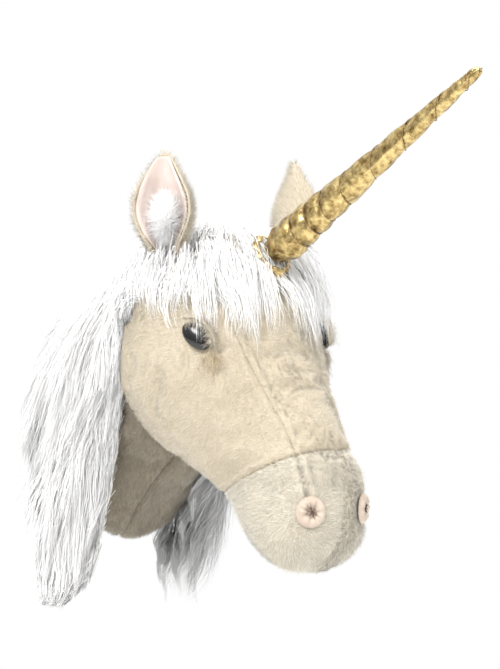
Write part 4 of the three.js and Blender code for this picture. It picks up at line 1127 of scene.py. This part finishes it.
for side in ("right", "left"):
    body = f"ear_{side}"
    shell = rounded_copy(f"ear_shell_{side}", f"ear_plush_{side}", 2, HEAD_CLOTH, body=body)
    foot = np.array([-0.069 if side == "right" else 0.069, -0.127, 0.150])
    pointed(shell, foot)
    lining = rounded_copy(f"ear_lining_{side}", f"ear_satin_{side}", 2, SATIN, body=body, slot="pink_satin")
    pointed(lining, foot)
    places, up = corners(lining.data), normals_of(lining.data)
    creases = np.array([1 - 2 * abs(noise.noise(Vector((p[0] * 55, p[1] * 55, p[2] * 20)))) for p in places])
    set_corners(lining.data, places + up * (creases * 1.2 * MM)[:, None])
    lining_tree = BVHTree.FromPolygons(
        corners(lining.data).tolist(), [list(p.vertices) for p in lining.data.polygons]
    )

    def outside_only(found, tree=lining_tree):
        return (nearest_on(tree, found)[1] > 1.3 * MM) & (nearest_on(skin_tree, found)[1] > 5 * MM)

    swept = lambda places: np.tile([0.0, 0.25, 0.9], (len(places), 1)) + 0.6 * np.array(
        [noise.noise_vector(Vector(p) * 50) for p in places]
    )
    pile_on(shell, f"ear_pile_{side}", 1.2e6, 5.8 * MM, 0.46 * MM, 0.45, TONES["head"], swept, outside_only, body=body)
print("ears", len(shell.data.polygons), len(lining.data.polygons))

# %% Fluff inside the ears
SKYWARD = np.array([0.0, 0.0, 0.6])
for side in ("right", "left"):
    body = f"ear_{side}"
    tuft = mesh_places(f"ear_tuft_{side}")
    centre, half = tuft.mean(0), np.ptp(tuft, axis=0) / 2
    out = np.array([-1.0 if side == "right" else 1.0, -0.35, 0.0])
    core = rounded_copy(f"ear_tuft_{side}", f"ear_fluff_core_{side}", 1, WHITE_CLOTH, body=body, slot="long_pile")
    places = corners(core.data)
    set_corners(core.data, centre + (places - centre) * 0.5)
    count = 2200
    aim = unit(random.normal(size=(count, 3)) + out * 0.5 + np.array([0, 0, 0.1]))
    roots = centre + aim * half * np.array([0.5, 0.8, 0.9]) + np.array([0, 0, 2 * MM])
    starts = aim + out * 0.3 + np.array([0, 0, 0.4]) + random.normal(0, 0.4, (count, 3))
    ends = aim * 0.9 + out * 0.2 + random.normal(0, 0.6, (count, 3))
    fluff = bowed(roots, starts, ends, random.uniform(7, 15, count) * MM, points=5)
    strands(f"ear_fluff_{side}", fluff, 0.34 * MM, TONES["white"], body, unit(aim + 0.4 * out))
print("fluff")

# %% [markdown]
# ## Mane
# The mane is two curtains of long pile that start on the crest of the neck. Their strands overlap
# like thatch: each one leaves the skin and ends further out and further down. The frame's mane
# solids say where the inside and the outside of each curtain lie: rays from the middle of the
# neck find both, station by station along the neck, first round the crest and then straight down.

# %% Inside and outside of each curtain
STATIONS = np.linspace(0.005, 0.098, 18)
TURNS = {"right": np.linspace(4, 90, 9), "left": np.linspace(4, 163, 21)}
FALLS = {"right": np.linspace(0.0, 1.0, 13)[1:], "left": []}


def curtain(side):
    """Grids of inside and outside places: station by place along the fall."""
    tree = BVHTree.FromBMesh(merged(f"mane_{side}"))
    mirror = -1.0 if side == "right" else 1.0
    turns, falls = TURNS[side], FALLS[side]
    inside = np.full((len(STATIONS), len(turns) + len(falls), 3), np.nan)
    outside = inside.copy()

    def both(i, k, start, way):
        near = tree.ray_cast(start, way, 0.4)[0]
        far = tree.ray_cast(start + way * 0.4, -way, 0.4)[0]
        if near is not None and far is not None:
            inside[i, k], outside[i, k] = near, far
        return near is not None

    for i, out in enumerate(STATIONS):
        level = float(np.interp(out, [0.019, 0.038, 0.06, 0.088, 0.112], [0, 0.015, 0.031, 0.045, 0.055]))
        middle = Vector((0, -out, level))
        for k, turn in enumerate(np.radians(turns)):
            both(i, k, middle, Vector((mirror * math.sin(turn), 0, math.cos(turn))))
        bottom = level
        while bottom > -0.2 and tree.ray_cast(Vector((0, -out, bottom)), Vector((mirror, 0, 0)), 0.4)[0]:
            bottom -= 0.003
        for k, fall in enumerate(falls):
            z = level + (bottom + 0.003 - level) * fall
            both(i, len(turns) + k, Vector((0, -out, z)), Vector((mirror, 0, 0)))
    for grid in (inside, outside):
        for row in grid:
            known = np.flatnonzero(~np.isnan(row[:, 0]))
            for axis in range(3):
                row[:, axis] = np.interp(np.arange(len(row)), known, row[known, axis])
    return inside, outside


def on_grid(grid, i, k):
    """Places between the grid's own, at fractions of a station and of a place along the fall."""
    i = np.clip(i, 0, grid.shape[0] - 1.001)
    k = np.clip(k, 0, grid.shape[1] - 1.001)
    i0, k0 = i.astype(int), k.astype(int)
    fi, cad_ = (i - i0)[..., None], (k - k0)[..., None]
    low = grid[i0, k0] * (1 - fi) + grid[i0 + 1, k0] * fi
    high = grid[i0, k0 + 1] * (1 - fi) + grid[i0 + 1, k0 + 1] * fi
    return low * (1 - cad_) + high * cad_


MANE_WIDEST, MANE_LOWEST = 0.147, -0.168


def thatch(side, locks, each, length, points=5):
    inside, outside = curtain(side)
    stations, falls = inside.shape[:2]
    t = np.linspace(0, 1, points)[None, :]
    count = locks * each
    owner = np.repeat(np.arange(locks), each)
    start_i = random.uniform(0, stations - 1, locks)
    start_k = (falls - 1) * random.beta(0.9, 1.25, locks) * 0.93
    reach = length * random.uniform(0.75, 1.15, locks)
    middle = (inside + outside) / 2
    run = np.linalg.norm(np.diff(middle, axis=1), axis=2).sum(1)
    layer = random.uniform(0.3, 1.18, locks)
    loose = 1 - 0.72 * t
    i = start_i[owner, None] + random.normal(0, 0.55, (count, 1)) * loose
    k = start_k[owner, None] + random.normal(0, 0.5, (count, 1)) * loose
    i = i - 0.9 * t * random.uniform(0.2, 1.4, (locks, 1))[owner]
    total = run[np.clip(start_i.astype(int), 0, stations - 1)][owner, None]
    k = k + (reach[owner, None] * random.uniform(0.7, 1.1, (count, 1))) / total * (falls - 1) * t
    u = layer[owner, None] * t**0.5 * random.uniform(0.8, 1.15, (count, 1))
    paths = on_grid(inside, i, k) * (1 - u[..., None]) + on_grid(outside, i, k) * u[..., None]
    over = np.clip(k - (falls - 1), 0, 3)
    paths[..., 2] -= over * 2.2 * MM
    facing = unit(unit((on_grid(outside, i, k) - on_grid(inside, i, k))[:, points // 2]) + SKYWARD)
    phase = random.uniform(0, 2 * np.pi, (locks, 1, 3))[owner]
    wave = 2.6 * MM * np.sin(2.4 * np.pi * t[..., None] + phase) * t[..., None]
    aside = random.normal(0, 2.5 * MM, (count, 1, 1)) * (1 - t[..., None]) * np.array([1.0, 0.0, 0.0])
    paths = paths + wave + aside
    paths[..., 0] = np.clip(paths[..., 0], -MANE_WIDEST, MANE_WIDEST)
    paths[..., 2] = np.maximum(paths[..., 2], MANE_LOWEST)
    return paths, facing, (inside, outside)


curtains = {}
for side, locks, parts in (("right", 545, 2), ("left", 285, 1)):
    paths, facing, curtains[side] = thatch(side, locks, 29, 0.1)
    for part in range(parts):
        share = slice(part, None, parts)
        name = f"mane_{side}_{part + 1}"
        made = strands(name, paths[share], 0.58 * MM, TONES["white"], "head", facing[share])
        if part == 0:
            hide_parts(f"mane_{side}")
    print(side, "mane strands", len(paths))

# %% Soft layer under the mane
UNDER_AT, UNDER_THICK = 0.12, 4 * MM
UNDER_REACH = {"right": 0.96, "left": 0.62}
for side, (inside, outside) in curtains.items():
    rows, columns = inside.shape[:2]
    bm = bmesh.new()
    bmesh.ops.create_grid(bm, x_segments=4 * (rows - 1), y_segments=3 * (columns - 1), size=1)
    at = np.array([v.co for v in bm.verts])
    i, k = (at[:, 0] + 1) / 2 * (rows - 1), (at[:, 1] + 1) / 2 * (columns - 1) * UNDER_REACH[side]
    layer = on_grid(inside, i, k) * (1 - UNDER_AT) + on_grid(outside, i, k) * UNDER_AT
    locks = np.array([noise.noise(Vector((a * 1.9, b * 0.35, 0))) for a, b in zip(i, k)])
    way = unit(on_grid(outside, i, k) - on_grid(inside, i, k))
    for v, place in zip(bm.verts, layer + way * (locks * 5 * MM)[:, None]):
        v.co = place
    if side == "left":
        bmesh.ops.reverse_faces(bm, faces=bm.faces)
    under = thickened(piece_of(f"mane_underfur_{side}", bm, WHITE_CLOTH), UNDER_THICK, offset=0.0)
    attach(under, "head")
print("underfur", len(under.data.polygons))

# %% [markdown]
# ## Forelock and crown
# Long white pile covers the crown from the poll to the brow, round the ears and the horn. Its
# strands are combed along the skin away from a whorl behind the horn, and fall over the brow.

# %% Comb the crown
WHORL = np.array([0.0, -0.118, 0.166])


def fall(ground, t):
    away = unit(ground - WHORL)
    swirl = np.array([noise.noise_vector(Vector(p) * 16) for p in ground])
    return away * (1.2 - 0.4 * t) + np.array([0.0, -0.1, -0.8]) * (0.25 + 0.8 * t) + 0.9 * swirl


def crown_roots(count):
    """Places on the skin of the crown, above a line that rises from the back to the brow."""
    found, up = spread_over(skin_places, quads, 3.0e5)
    edge = 0.107 + (-found[:, 1] - 0.042) * 0.13
    above = found[:, 2] > edge + random.uniform(-0.004, 0.012, len(found))
    behind = found[:, 1] < -0.03
    collar_room = np.linalg.norm(found - (horn_foot + horn_axis * 4 * MM), axis=1) > 15 * MM
    ear_room = away_from(found, EAR_FEET) > 10 * MM
    return found[above & behind & collar_room & ear_room][:count]


EAR_FEET = np.array([[-0.069, -0.127, 0.150], [0.069, -0.127, 0.150]])
roots = crown_roots(99999)
random.shuffle(roots)
roots = roots[:800]
length = random.uniform(0.036, 0.072, len(roots)) * (0.62 + 0.42 * ease(-0.135, -0.175, roots[:, 1]))
rise = random.uniform(3, 14, len(roots)) * MM * (1 + 1.1 * ease(0.02, 0.06, np.abs(roots[:, 0])))
guides = combed(roots, fall, length, rise, skin_tree)
locks = clumped(guides, 16, 3.6 * MM, gather=0.45, wave=2.2 * MM)
facing = unit(unit(locks[:, 2] - nearest_on(skin_tree, locks[:, 2])[0]) + SKYWARD * 0.5)
FORELOCK_PARTS = 2
for part in range(FORELOCK_PARTS):
    share = slice(part, None, FORELOCK_PARTS)
    made = strands(f"forelock_{part + 1}", locks[share], 0.5 * MM, TONES["white"], "head", facing[share])
    if part == 0:
        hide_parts("forelock")
print("forelock", len(locks), "strands from", len(roots), "guides")

# %% [markdown]
# ## Studio
# A pale floor a good way under the head, a bright surround, one large soft key light from the
# upper left front, and a weaker fill.

# %% Floor, lights and camera
FLOOR_LEVEL = -0.5
bm = bmesh.new()
bmesh.ops.create_circle(bm, cap_ends=True, segments=96, radius=1.6)
bmesh.ops.translate(bm, verts=bm.verts, vec=(0, 0, FLOOR_LEVEL))
floor_finish = Finish("pale_floor")
floor_cloud = floor_finish.cloud(3, 2)
floor_finish.paint(floor_finish.blend(floor_cloud, rgb(238, 238, 236), rgb(246, 246, 245))).rough(0.8)
floor = piece_of("floor", bm, floor_finish.material, smooth=False)

surround = bpy.data.worlds.new("surround")
bpy.context.scene.world = surround
surround.use_nodes = True
sky = surround.node_tree
backdrop = sky.nodes["Background"]
rays = sky.nodes.new("ShaderNodeLightPath")
seen = sky.nodes.new("ShaderNodeMix")
seen.data_type = "FLOAT"
seen.inputs[3].default_value = 1.0
way = sky.nodes.new("ShaderNodeTexCoord")
height = sky.nodes.new("ShaderNodeSeparateXYZ")
sky.links.new(way.outputs["Generated"], height.inputs[0])
glow = sky.nodes.new("ShaderNodeMapRange")
glow.inputs["From Min"].default_value, glow.inputs["From Max"].default_value = -0.35, 0.75
glow.inputs["To Min"].default_value, glow.inputs["To Max"].default_value = 0.38, 1.3
sky.links.new(height.outputs["Z"], glow.inputs["Value"])
sky.links.new(glow.outputs["Result"], seen.inputs[2])
sky.links.new(rays.outputs["Is Camera Ray"], seen.inputs[0])
sky.links.new(seen.outputs[0], backdrop.inputs["Strength"])
backdrop.inputs["Color"].default_value = (1, 1, 1, 1)


def soft_light(name, place, aim, size, watts):
    light = bpy.data.lights.new(name, "AREA")
    light.shape, light.size, light.energy = "DISK", size, watts
    made = bpy.data.objects.new(name, light)
    made.location = place
    made.rotation_euler = (Vector(aim) - Vector(place)).to_track_quat("-Z", "Y").to_euler()
    bpy.context.scene.collection.objects.link(made)
    return made


MIDDLE = (0.0, -0.17, 0.05)
soft_light("key", (-1.6, -0.7, 1.3), MIDDLE, 0.9, 44)
soft_light("fill", (0.6, -2.0, 0.9), MIDDLE, 1.2, 14)
soft_light("rim", (0.9, 0.5, 1.2), MIDDLE, 0.8, 12)
bpy.context.scene.view_settings.view_transform = "Standard"

CAMERA_AIM = Vector((0, -0.153, 0.08))
CAMERA_TURN = math.radians(47)  # how far round to the animal's right the camera stands
CAMERA_AWAY = 2.2
lens = bpy.data.cameras.new("camera")
lens.lens, lens.sensor_width = 139, 36
camera = bpy.data.objects.new("camera", lens)
camera.location = CAMERA_AIM + CAMERA_AWAY * Vector((-math.sin(CAMERA_TURN), -math.cos(CAMERA_TURN), 0))
camera.rotation_euler = (CAMERA_AIM - camera.location).to_track_quat("-Z", "Y").to_euler()
bpy.context.scene.collection.objects.link(camera)
bpy.context.scene.camera = camera
print("camera", tuple(round(v, 3) for v in camera.location))
